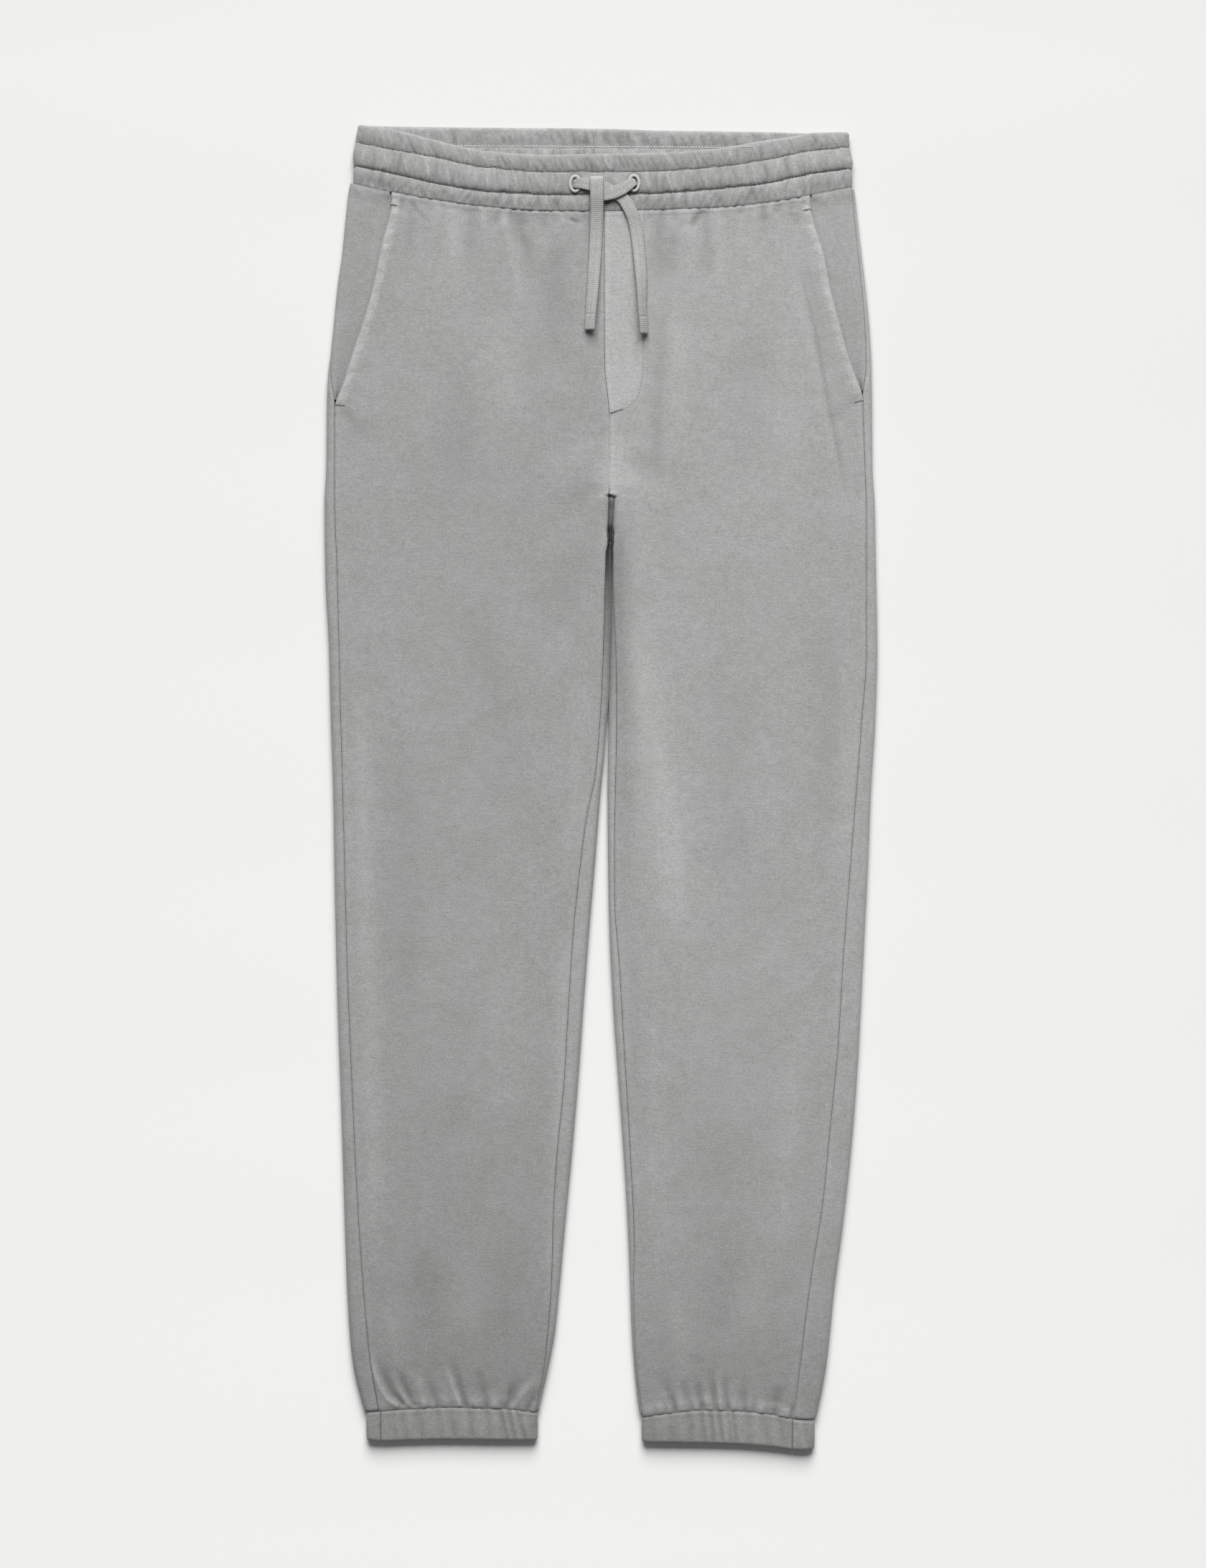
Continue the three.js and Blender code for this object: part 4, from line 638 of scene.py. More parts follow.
def front(side, material):
    inb = -side
    a = rows_by_step(0, 1, 0.013, 0.045)
    mid = np.concatenate([
        rows_by_step(390.5, 238, 2.9, 2.7)[1:], rows_by_step(238, 190, 1.25, 1.25)[1:],
        rows_by_step(190, -440, 3.1, 2.9)[1:]])
    b = rows_by_step(0, 1, 0.055, 0.014)[1:]
    const = np.concatenate([390.5 * a, mid, -440.0 * (1 - b)])
    w_top = np.concatenate([1 - a, np.zeros(len(mid) + len(b))])
    w_hem = np.concatenate([np.zeros(len(a) + len(mid)), b])
    if len(const) % 2 == 0:
        k = len(a) + len(mid) // 2
        const = np.insert(const, k, (const[k - 1] + const[k]) / 2)
        w_top, w_hem = np.insert(w_top, k, 0), np.insert(w_hem, k, 0)
    const, w_top, w_hem = const[:, None], w_top[:, None], w_hem[:, None]
    start_cols = np.concatenate([START_COLS, np.arange(15.0, 30.0, 1.3)]) if side == LEFT else START_COLS
    n_mid = 78 if side == RIGHT else 66
    if (len(start_cols) + n_mid + len(END_COLS[side])) % 2 == 0:
        n_mid += 1
    up_front = inseam_up(side, "front")

    def y_of(x):
        return const + w_top * (band_seam(x) - 0.08) + w_hem * (CUFF[side]["seam"](x) + HEM_GAP - 0.15)

    cols = len(start_cols) + n_mid + len(END_COLS[side])
    rows = len(const)
    x = np.full((rows, cols), side * 100.0)
    y = y_of(x) * np.ones_like(x)
    for _ in range(4):
        start = np.where(y[:, :1] > POCKET_END[side], pocket_x[side](y[:, :1]), side_seam_x[side](y[:, :1]) + inb * SEAM_GAP / 2)
        ye = y[:, -1:]
        ext = inner_x[side](y)
        c_end = up_front(ye)
        end_x = centre_front_x(ye) - inb * SEAM_GAP / 2
        long_open = np.abs(start - inner_x[side](ye)) - EDGE_R + QUARTER - c_end
        long_shut = np.abs(start - end_x)

        def along(span):
            first, last = span - start_cols[None, :], END_COLS[side][::-1][None, :] * np.ones((rows, 1))
            t = np.linspace(0, 1, n_mid + 2)[1:-1][None, :]
            return np.concatenate([first, lerp(first[:, -1:], last[:, :1], t), last], 1)
        q_open, q_shut = along(long_open), along(long_shut)
        xo, zo, nxo, nzo = round_edge(side, "inner", y, c_end + q_open)
        xs = end_x + side * q_shut
        k = smooth((228.8 - y) / 2.0)
        x = lerp(xs, xo, k)
        y = y_of(x)
    z = lerp(skin_top(side, xs, y), zo, k)
    nx, nz = nxo * k, lerp(1.0, nzo, k)
    length = np.hypot(nx, nz)
    nx, nz = nx / length, nz / length
    q = lerp(q_shut, q_open, k)
    from_start = lerp(long_shut, long_open, k[:, -1:]) - q
    from_band = band_seam(x) - 0.08 - y
    from_hem = y - CUFF[side]["seam"](x) - HEM_GAP + 0.15

    # relief and tone
    high, tone = np.zeros_like(x), np.zeros_like(x)
    top = nz > 0.5
    for table in ((WAIST_RIGHT, ANKLE_RIGHT, LEGS_RIGHT) if side == RIGHT else (WAIST_LEFT, ANKLE_LEFT, LEGS_LEFT)):
        h, t = creases(x, y, table)
        high += (1.8 if table in (ANKLE_RIGHT, ANKLE_LEFT) else 1.5) * h
        tone += (4.2 if table in (ANKLE_RIGHT, ANKLE_LEFT) else 4.0) * t
    lo, hi = (-158, -2) if side == RIGHT else (8, 160)
    h, t = creases(x, y, gathers(band_seam, lo, hi, 11 + side, turn=-1))
    high, tone = high + h, tone + t
    lo, hi = (-170, -56) if side == RIGHT else (38, 148)
    h, t = creases(x, y, gathers(CUFF[side]["seam"], lo, hi, 21 + side, gap=(5, 9), length=(7, 20)))
    high, tone = high + h, tone + t
    for points, w, shade in DYE_AND_PAINTED_LIGHT:
        tone += 1.8 * creases(x, y, [(points, w, w, 0, shade, 0.15, 0.15)])[1]
    tone += down_leg_tone_and_painted_falloff(side, y)
    flat_part = smooth(from_start / 8) * smooth(q / 8)
    high += flat_part * (0.16 * noise2(x, y, 46, 3) + 0.09 * noise2(x, y, 21, 4) + 0.05 * noise2(x, y, 9, 5))
    high += broad_folds(x, y) * 0
    pucker = 0.5 + 0.5 * noise2(x * 0.2, y, 4.2, 8 + side)
    pocket = smooth((y - POCKET_END[side]) / 2.5)
    # the pocket's folded edge: a soft roll, crimped unevenly by its topstitch
    crimp = noise2(x * 0.25 + y * 0.10, y, 2.5, 18 + side) * 0.65 + noise2(x * 0.3, y, 1.35, 28 + side) * 0.35
    wander = 6.8 + 0.5 * noise2(0 * x, y, 7.0, 38 + side)
    roll = np.clip(from_start / wander, 0, 1)
    fold = 0.62 * np.sin(math.pi * np.clip(0.16 + 0.84 * roll, 0, 1)) * (from_start < wander) - 1.3 * np.clip(1 - from_start / 1.2, 0, 1) ** 2 * (0.3 + 0.7 * smooth((from_band - 1) / 5))
    pull = np.exp(-((from_start - 3.4) / 2.6) ** 2)
    stitch = -0.26 * np.exp(-((from_start - wander) / 0.8) ** 2) * (0.55 + 0.45 * np.sin(y * 2 * math.pi / 2.9 + 1.5 * crimp))
    high += pocket * (fold + stitch + 0.55 * crimp * pull + 0.20 * crimp * np.exp(-((from_start - 8) / 2.2) ** 2))
    # the strip along the folded edge is paler with wear; the tone that follows its crimps is painted light and shade,
    # and its stitch line gets a little painted shade
    strip = smooth((wander + 0.9 + 0.5 * crimp - from_start) / 1.6) * (0.55 + 0.45 * smooth(from_start / 1.2))
    tone += pocket * ((0.26 if side == RIGHT else 0.18) * strip * (0.45 + 0.55 * smooth(from_band / 14)) + 0.20 * crimp * pull - 0.05 * np.maximum(crimp, 0) * np.exp(-((from_start - wander) / 0.6) ** 2))
    # side seam below the pocket, centre seam and inseam
    side_seam = 1 - pocket
    high += side_seam * groove(from_start, deep=0.42, ridge=0.16) * (0.5 + 1.0 * pucker)
    tone += side_seam * seam_tone(from_start, light=0.03)
    centre = smooth((y - 229) / 3)
    calm = 0.35 + 0.65 * smooth((y - 288) / 6)
    nip = 0.5 + 0.5 * noise2(x * 0.1, y, 3.1, 48 + side)
    g = groove(q, deep=0.34, wide=0.6, ridge=0.16, off=2.0, spread=1.4)
    high += centre * g * (0.4 + 1.2 * nip) * calm * 0.6 + (1 - centre) * groove(q, deep=0.45, ridge=0.2) * (0.6 + 0.8 * pucker)
    tone += centre * ((-0.03 * calm * np.exp(-(q / 0.7) ** 2) + (0.05 + 0.05 * (side == LEFT)) * np.exp(-((q - 2.2) / 1.5) ** 2)) * (0.4 + 1.2 * nip)) + (1 - centre) * seam_tone(q, light=0.03)
    # the fronts beside the slit below the crotch get painted shade, the wearer's left one most and over a broader band
    deep = np.interp(y, [-120, -50, 0, 60, 110, 180, 200, 222], [0, 0.12, 0.30, 0.55, 0.85, 1.0, 1.0, 0.0])
    tone += -deep * (0.30 if side == LEFT else 0.05) * np.exp(-(q / (10.0 if side == LEFT else 3.0)) ** 2)
    if side == LEFT:
        tone += -0.075 * np.interp(y, [-300, -230, -120, 100, 196, 222], [0, 0.7, 1, 1, 0.9, 0]) * np.exp(-((q - 9.0) / 8.0) ** 2)
    # painted light at the top of the slit: a strip along the wearer's right front's edge, and a patch on both fronts
    # just below the crotch
    if side == RIGHT:
        tone += 0.20 * np.exp(-((q - 4.0) / 1.7) ** 2) * smooth((y - 196) / 6) * smooth((232 - y) / 6)
    tone += 0.36 * np.exp(-((y - 229.4) / 3.0) ** 2) * np.exp(-((x - 7.0) / 7.0) ** 2) * smooth(q / 1.0)
    # the mock fly stands up a little, with painted light on it, and painted shade in the groove of its topstitch with a
    # lighter line beside
    if side == LEFT:
        fly = inside_fly(x, y)
        d, run = polyline_distance(x, y, FLY_LINE)
        high += 0.42 * fly - 0.6 * np.exp(-(d / 0.62) ** 2) * (0.6 + 0.4 * np.sin(run * 2 * math.pi / 2.6))
        high += 0.16 * np.exp(-((d - 2.0) / 1.2) ** 2) * (1 - fly)
        tone += 0.105 * fly - 0.17 * np.exp(-(d / 0.6) ** 2) * (0.6 + 0.4 * np.sin(run * 2 * math.pi / 2.6)) + 0.035 * np.exp(-((d - 1.6) / 0.9) ** 2)
    # the seams of the waistband and of the cuff: grooves with painted shade in them, and a lighter ridge beside each
    tuck = 0.5 + 0.5 * noise2(x, 0 * x, 3.4, 9 + side)
    high += -(0.10 + 0.45 * tuck) * np.exp(-(from_band / (0.5 + 0.6 * tuck)) ** 2) + 0.30 * np.exp(-((from_band - 2.2) / 1.6) ** 2)
    tone += -(0.12 + 0.10 * tuck) * np.exp(-(from_band / 1.2) ** 2) + 0.035 * np.exp(-((from_band - 3.0) / 2.0) ** 2)
    teeth = 0.5 + 0.5 * np.sin(x * 2 * math.pi / 2.8 + 1.4 * noise2(x, 0 * x, 9, 6))
    high += -0.40 * np.exp(-(from_hem / (0.5 + 0.5 * teeth)) ** 2) + 0.42 * np.exp(-((from_hem - 4.6) / 3.4) ** 2) * (0.6 + 0.8 * pucker)
    tone += -(0.04 + 0.12 * teeth) * np.exp(-(from_hem / 0.8) ** 2) + 0.045 * np.exp(-((from_hem - 2.6) / 1.5) ** 2)
    y = y + np.exp(-(from_hem / 1.2) ** 2) * (0.20 * (teeth - 0.5) - 0.22)
    high = np.clip(high, -1.8, 1.5) + meet(y) * k * np.maximum(0, -side * nx) * (np.abs(x - inner_x[side](y)) < 5)
    shut = side * 0.13 * np.exp(-(q / 0.45) ** 2) * smooth((y - 231) / 3) * smooth((292 - y) / 6)
    outer = np.stack([x + nx * high - shut, y, z + nz * high], -1)
    thick = CLOTH + 0.3 * np.minimum(high, 0)
    inner = np.stack([x - nx * thick, y, z - nz * thick], -1)
    tone = np.minimum(np.clip(tone, -0.45, 0.62), 0.62 - 1.62 * cleft_shade(side, x, y))
    obj = shell(f"front_{WORD[side]}_cloth", outer, inner, material, tone, 0.3 * tone - 0.05)
    return obj, area_of(outer)


# ---------------------------------------------------------------- backs
def back(side, material):
    inb = -side
    a = rows_by_step(0, 1, 0.02, 0.06)
    mid = np.concatenate([
        rows_by_step(400, 240, 3.6, 3.4)[1:], rows_by_step(240, 188, 1.3, 1.3)[1:],
        rows_by_step(188, -440, 3.6, 3.4)[1:]])
    b = rows_by_step(0, 1, 0.06, 0.018)[1:]
    const = np.concatenate([400.0 * a, mid, -440.0 * (1 - b)])
    w_top = np.concatenate([1 - a, np.zeros(len(mid) + len(b))])
    w_hem = np.concatenate([np.zeros(len(a) + len(mid)), b])
    if len(const) % 2 == 0:
        k = len(a) + len(mid) // 2
        const = np.insert(const, k, (const[k - 1] + const[k]) / 2)
        w_top, w_hem = np.insert(w_top, k, 0), np.insert(w_hem, k, 0)
    const, w_top, w_hem = const[:, None], w_top[:, None], w_hem[:, None]
    near_seam = np.array([0, .3, .7, 1.15, 1.7, 2.4, 3.2])
    n1, n2, n3 = 15, 40, 15
    if (2 * len(near_seam) + n1 + n2 + n3) % 2 == 0:
        n2 += 1
    cols = 2 * len(near_seam) + n1 + n2 + n3
    up_back = inseam_up(side, "back")

    def y_of(x, up):
        return const + w_top * (back_seam_y(x) - SEAM_GAP) + w_hem * (cuff_seam(side, x, up) + HEM_GAP)

    rows = len(const)
    x, up = np.full((rows, cols), side * 100.0), np.full((rows, cols), -1.0)
    y = y_of(x, up)
    for _ in range(4):
        y0, y1 = y[:, :1], y[:, -1:]
        c0 = up_to(side, "outer", y0, side_seam_x[side](y0)) - SEAM_GAP / 2
        first = c0 - near_seam[None, :]
        t = np.linspace(0, 1, n1 + 1)[1:][None, :]
        c_a = np.concatenate([first, lerp(first[:, -1:], -QUARTER * np.ones((rows, 1)), t)], 1)
        ya = y[:, :c_a.shape[1]]
        xa, za, nxa, nza = round_edge(side, "outer", ya, c_a)
        c1 = up_back(y1)
        last = c1 - near_seam[::-1][None, :]
        t = np.linspace(0, 1, n3 + 1)[:-1][None, :]
        c_b = np.concatenate([lerp(-QUARTER * np.ones((rows, 1)), last[:, :1], t), last], 1)
        yb = y[:, -c_b.shape[1]:]
        xb, zb, nxb, nzb = round_edge(side, "inner", yb, c_b)
        end = centre_back_x(y1) - inb * SEAM_GAP / 2
        s = np.concatenate([lerp(12.0 * np.ones((rows, 1)), near_seam[-1], t), near_seam[::-1][None, :] * np.ones((rows, 1))], 1)
        xc = end - inb * s
        k = smooth((192.2 - yb) / 1.6)
        xe, ze = lerp(xc, xb, k), lerp(0 * zb, zb, k)
        nxe, nze = lerp(0.0, nxb, k), lerp(-1.0, nzb, k)
        t = np.linspace(0, 1, n2 + 2)[1:-1][None, :]
        xm = lerp(xa[:, -1:], xe[:, :1], t)
        x = np.concatenate([xa, xm, xe], 1)
        z = np.concatenate([za, 0 * xm, ze], 1)
        nx = np.concatenate([nxa, 0 * xm, nxe], 1)
        nz = np.concatenate([nza, 0 * xm - 1, nze], 1)
        up = nz
        y = y_of(x, up)
    length = np.hypot(nx, nz)
    nx, nz = nx / length, nz / length
    ia, ib = c_a.shape[1], c_b.shape[1]
    from_start = np.full_like(x, 60.0)
    from_start[:, :ia] = c0 - c_a
    from_end = np.full_like(x, 60.0)
    from_end[:, -ib:] = lerp(s, c1 - c_b, k)
    high, tone = np.zeros_like(x), np.zeros_like(x)
    pucker = 0.5 + 0.5 * noise2(x * 0.2, y, 4.6, 18 + side)
    # the seams' grooves and the soft ridges beside them, seen from above along both edges of the leg
    high += groove(from_start, deep=0.42, ridge=0.30, off=2.6, spread=1.7) * (0.5 + 1.0 * pucker)
    tone += seam_tone(from_start, light=0.04, off=2.4)
    high += groove(from_end, deep=0.42, ridge=0.25, off=2.4, spread=1.6) * (0.5 + 1.0 * pucker)
    tone += seam_tone(from_end, light=0.03, off=2.4)
    under = smooth(-nz * 1.5)
    lift = 0.28 + 0.28 * noise2(x, y, 52, 31) + 0.10 * noise2(x, y, 19, 32)
    lo, hi = (-190, -10) if side == RIGHT else (-2, 192)
    h, t = creases(x, y, gathers(back_seam_y, lo, hi, 41 + side, gap=(7, 14), length=(14, 60), turn=-1), 1.2)
    lift, tone = lift + np.abs(h), tone + t * under
    lo, hi = (-176, -56) if side == RIGHT else (40, 160)
    h, t = creases(x, y, gathers(lambda q: cuff_seam(side, q, -1), lo, hi, 51 + side, gap=(6, 12), length=(10, 44)), 0.8)
    lift, tone = lift + np.abs(h), tone + t * under
    h, t = creases(x, y, [
        ([(837 + side * 60, 705), (837 + side * 150, 760), (837 + side * 250, 790)], 7, 12, 0.55, -0.03, 0.05, 0.6),
        ([(837 + side * 45, 660), (837 + side * 120, 668)], 6, 10, 0.40, 0.02, 0.1, 0.6),
        ([(837 + side * 190, 900), (837 + side * 186, 1300), (837 + side * 180, 1700)], 9, 9, 0.50, 0.02, 0.2, 0.2),
        ([(837 + side * 90, 980), (837 + side * 240, 1040)], 8, 14, 0.35, -0.02, 0.3, 0.3),
    ])
    lift, tone = lift + h, tone + t * under
    high -= under * np.clip(lift, 0, 1.1)
    hem = y - cuff_seam(side, x, up) - HEM_GAP
    teeth = 0.5 + 0.5 * np.sin(x * 2 * math.pi / 2.8)
    # the hem seam's groove, with painted shade in it
    high += -0.9 * np.exp(-(hem / (0.7 + 0.5 * teeth)) ** 2)
    tone += -0.18 * np.exp(-(hem / 1.0) ** 2)
    high += -0.5 * np.exp(-((back_seam_y(x) - y) / 1.0) ** 2)
    high = np.clip(high, -1.5, 0.8) + meet(y) * np.maximum(0, -side * nx) * (np.abs(x - inner_x[side](y)) < 5)
    outer = np.stack([x + nx * high, y, np.maximum(z + nz * high, 0.0)], -1)
    thick = CLOTH + 0.75 * np.minimum(high, 0) + 3.6 * np.exp(-((x - 8.4) / 4.5) ** 2 - ((y - 226.0) / 5.0) ** 2) * (nz < -0.9)
    inner = np.stack([x - nx * thick, y, z - nz * thick], -1)
    # lighter strips inside both seams, and painted light and shade on the outer edges: the wearer's left leg's lighter,
    # the right leg's darker
    tone = np.clip(tone + down_leg_tone_and_painted_falloff(side, y) + 0.02 * np.exp(-((from_start - 5) / 4.0) ** 2)
                   + (0.09 if side == RIGHT else 0.03) * np.exp(-((from_end - 5) / 5.0) ** 2)
                   - (0.06 if side == RIGHT else -0.07) * np.exp(-(np.abs(x - outer_x[side](y)) / 3.2) ** 2), -0.75, 0.3)
    shade = np.interp(y, [r[0] for r in SLIT_SHADE], [r[1] for r in SLIT_SHADE]) * smooth((17 - from_end) / 5) * (y < 238)
    tone_in = np.minimum(0.3 * tone - 0.05, shade)
    tone = lerp(tone, np.minimum(tone, tone * 0.3 + shade), np.clip(-shade / 0.06, 0, 1))
    tone = np.minimum(np.where(shade < -0.01, tone, np.maximum(tone, -0.4)), 0.3 - 1.3 * cleft_shade(side, x, y) * (from_end < 17))
    obj = shell(f"back_{WORD[side]}_cloth", outer, inner, material, tone, tone_in)
    return obj, area_of(outer)


# ---------------------------------------------------------------- pocket facings
def facing(side, material):
    inb = -side
    last = POCKET_END[side] + 3.5
    a = rows_by_step(0, 1, 0.012, 0.024)
    if len(a) % 2 == 0:
        a = rows_by_step(0, 1, 0.0125, 0.0236)
        a = odd(a)
    const, w_top = (last * a)[:, None], (1 - a)[:, None]
    n1, n2, n3 = 13, 26, 8
    cols = n1 + n2 + n3
    rows = len(a)

    def y_of(x):
        return const + w_top * (band_seam(x) - 0.12)
    x = np.full((rows, cols), side * 180.0)
    y = y_of(x)
    for _ in range(4):
        y0 = y[:, :1]
        edge = pocket_x[side](y[:, -1:]) - inb * 0.9
        c0 = up_to(side, "outer", y0, side_seam_x[side](y0)) + SEAM_GAP / 2
        crest = np.maximum(c0, QUARTER) + 0.4
        c = lerp(c0, crest, np.linspace(0, 1, n1)[None, :] ** 1.4)
        xa, za, nxa, nza = round_edge(side, "outer", y[:, :n1], c)
        room = [skin_top(side, pocket_x[side](y0) + inb * k, y0) for k in (0, 4, 8, 12)]
        under = np.minimum.reduce(room) - CLOTH - SEAM_GAP - 0.15
        t = np.linspace(0, 1, n2 + 1)[1:][None, :]
        xm, zm = lerp(xa[:, -1:], edge, t), lerp(za[:, -1:], under, 0.55 * t + 0.45 * smooth(t))
        t = np.linspace(0, 1, n3 + 1)[1:][None, :]
        xt, zt = edge + inb * FACING_TUCK * t, under + 0 * t
        x = np.concatenate([xa, xm, xt], 1)
        y = y_of(x)
    z = np.concatenate([za, zm, zt], 1)
    nx = np.concatenate([nxa, np.zeros((rows, n2 + n3))], 1)
    nz = np.concatenate([nza, np.ones((rows, n2 + n3))], 1)
    from_start = np.abs(x - x[:, :1]) + np.where(np.arange(cols)[None, :] < n1, 0, 0)
    from_edge = (x - edge) * inb
    from_band = band_seam(x) - 0.12 - y
    h, tone = creases(x, y, gathers(band_seam, -194, -160, 61, gap=(6, 11), length=(10, 34), turn=-1)
                      if side == RIGHT else gathers(band_seam, 160, 194, 62, gap=(6, 11), length=(10, 34), turn=-1))
    open_part = smooth((-from_edge - 1.0) / 4)
    high = (0.9 * h + 0.14 * noise2(x, y, 26, 63) + 0.07 * noise2(x, y, 10, 64) ) * open_part + 0.9 * smooth((12 - from_band) / 10) * (nz > 0.9) * smooth((-from_edge - 0.3) / 1.8)
    # the corner under the waistband lies as high as the front beside it
    high += 1.5 * smooth((6 - from_band) / 4) * smooth((-from_edge - 0.2) / 0.9) * np.exp(-(from_edge / 5.0) ** 2) * (nz > 0.9)
    high += -0.5 * np.exp(-(from_start / 0.9) ** 2) - 0.25 * np.exp(-(from_band / 0.8) ** 2)
    # painted shade along the facing's side seam, under the waistband and where it goes under the pocket's edge; a
    # little darker all over
    tone = tone * open_part - 0.10 * np.exp(-(from_start / 0.8) ** 2) - 0.06 * np.exp(-(from_band / 1.0) ** 2)
    tone += -0.10 * np.exp(-((from_edge) / 1.6) ** 2) - 0.02 + down_leg_tone_and_painted_falloff(side, y)
    outer = np.stack([x + nx * high, y, z + nz * high], -1)
    inner = np.stack([x - nx * FACING_WALL, y, z - nz * FACING_WALL], -1)
    obj = shell(f"pocket_facing_{WORD[side]}_cloth", outer, inner, material, tone, tone * 0)
    return obj, area_of(outer)


# ---------------------------------------------------------------- waistband
# The most visible wrinkles of the band's front: middle x, half width, height, lean, and over which channels.
BAND_WRINKLES = [
    (-171, 2.2, -0.50, 0.2, 0.0, 3.0), (-157, 2.0, -0.55, 0.3, 0.9, 3.0), (-149, 1.8, 0.40, 0.2, 0.0, 2.0),
    (-139, 2.0, -0.45, 0.1, 0.0, 1.9), (-128, 1.8, -0.50, 0.1, 1.0, 3.0), (-119, 2.0, 0.42, 0.0, 0.8, 3.0),
    (-108, 1.9, -0.60, 0.2, 0.0, 2.0), (-97, 1.8, -0.45, 0.0, 0.0, 3.0), (-88, 1.8, 0.40, 0.1, 1.0, 3.0),
    (-79, 2.0, -0.62, 0.3, 0.0, 1.6), (-71, 1.7, -0.50, 0.2, 0.0, 1.0), (-66, 1.6, 0.45, 0.2, 0.0, 1.0),
    (-60, 1.9, -0.50, 0.0, 0.9, 3.0), (-50, 1.7, -0.45, 0.1, 0.0, 2.1), (-43, 1.7, 0.40, 0.0, 0.9, 3.0),
    (-35, 1.8, -0.52, -0.1, 0.0, 3.0), (-12, 1.7, -0.42, 0.0, 1.9, 3.0), (4, 1.8, 0.36, 0.0, 1.9, 3.0),
    (15, 1.8, -0.42, 0.0, 1.9, 3.0), (37, 1.8, -0.48, 0.1, 0.0, 3.0), (45, 1.7, 0.42, 0.0, 0.9, 2.1),
    (52, 1.9, -0.60, 0.0, 0.0, 3.0), (61, 1.6, 0.40, 0.0, 0.0, 2.0), (66, 1.7, -0.52, -0.1, 0.0, 2.0),
    (75, 1.8, -0.46, 0.0, 0.9, 3.0), (84, 1.8, 0.40, -0.1, 0.0, 3.0), (93, 2.0, -0.62, -0.1, 0.9, 2.1),
    (101, 1.7, -0.48, -0.2, 0.0, 1.0), (110, 1.8, 0.44, -0.1, 0.9, 3.0), (119, 1.9, -0.60, -0.2, 0.0, 3.0),
    (129, 1.7, -0.42, -0.1, 0.9, 3.0), (137, 1.8, 0.42, -0.2, 0.0, 2.1), (146, 2.0, -0.62, -0.2, 0.9, 3.0),
    (158, 1.8, -0.46, -0.2, 0.0, 3.0), (167, 1.8, 0.38, -0.3, 0.9, 3.0), (176, 2.0, -0.50, -0.3, 0.0, 2.1),
]


def small_wrinkles(start, stop, seed, low=5.0, high=9.0):
    """Fine uneven wrinkles in one channel each, with their own width, height and lean: mostly thin leaning troughs in the
    upper channel and pale ridges in the lower ones, closer together towards the middle."""
    rng = np.random.RandomState(seed)
    rows = []
    for channel, least, most, ridges in ((0, 0.0, 0.75, 0.55), (1, -0.45, 0.35, 0.5), (2, -0.62, -0.12, 0.25)):
        s = start + rng.uniform(0, 6)
        while s < stop:
            swell = 1 if rng.uniform() < ridges else -1
            low_end, high_end = channel + rng.uniform(-0.15, 0.35), channel + rng.uniform(0.6, 1.1)
            rows.append((s, rng.uniform(0.7, 1.5), rng.uniform(0.18, 0.50) * swell, rng.uniform(least, most), low_end, high_end))
            s += rng.uniform(low, high) * (0.6 + 0.7 * min(1.0, abs(s) / 130))
    return rows


def wrinkle_height(s, w, rows):
    """s is the place along the band in millimetres, w the channel's number plus the share of it."""
    h = np.zeros(np.broadcast(s, w).shape)
    for mid, half, high, lean, w0, w1 in rows:
        near = np.abs(s - mid) < 3.4 * half + 6
        if not near.any():
            continue
        m = mid + lean * (w - (w0 + w1) / 2) * 14
        k = np.exp(-((s - m) / half) ** 2)
        h += np.where(near, high * k * smooth((w - w0) / 0.3 + 0.35) * smooth((w1 - w) / 0.3 + 0.35), 0)
    return h


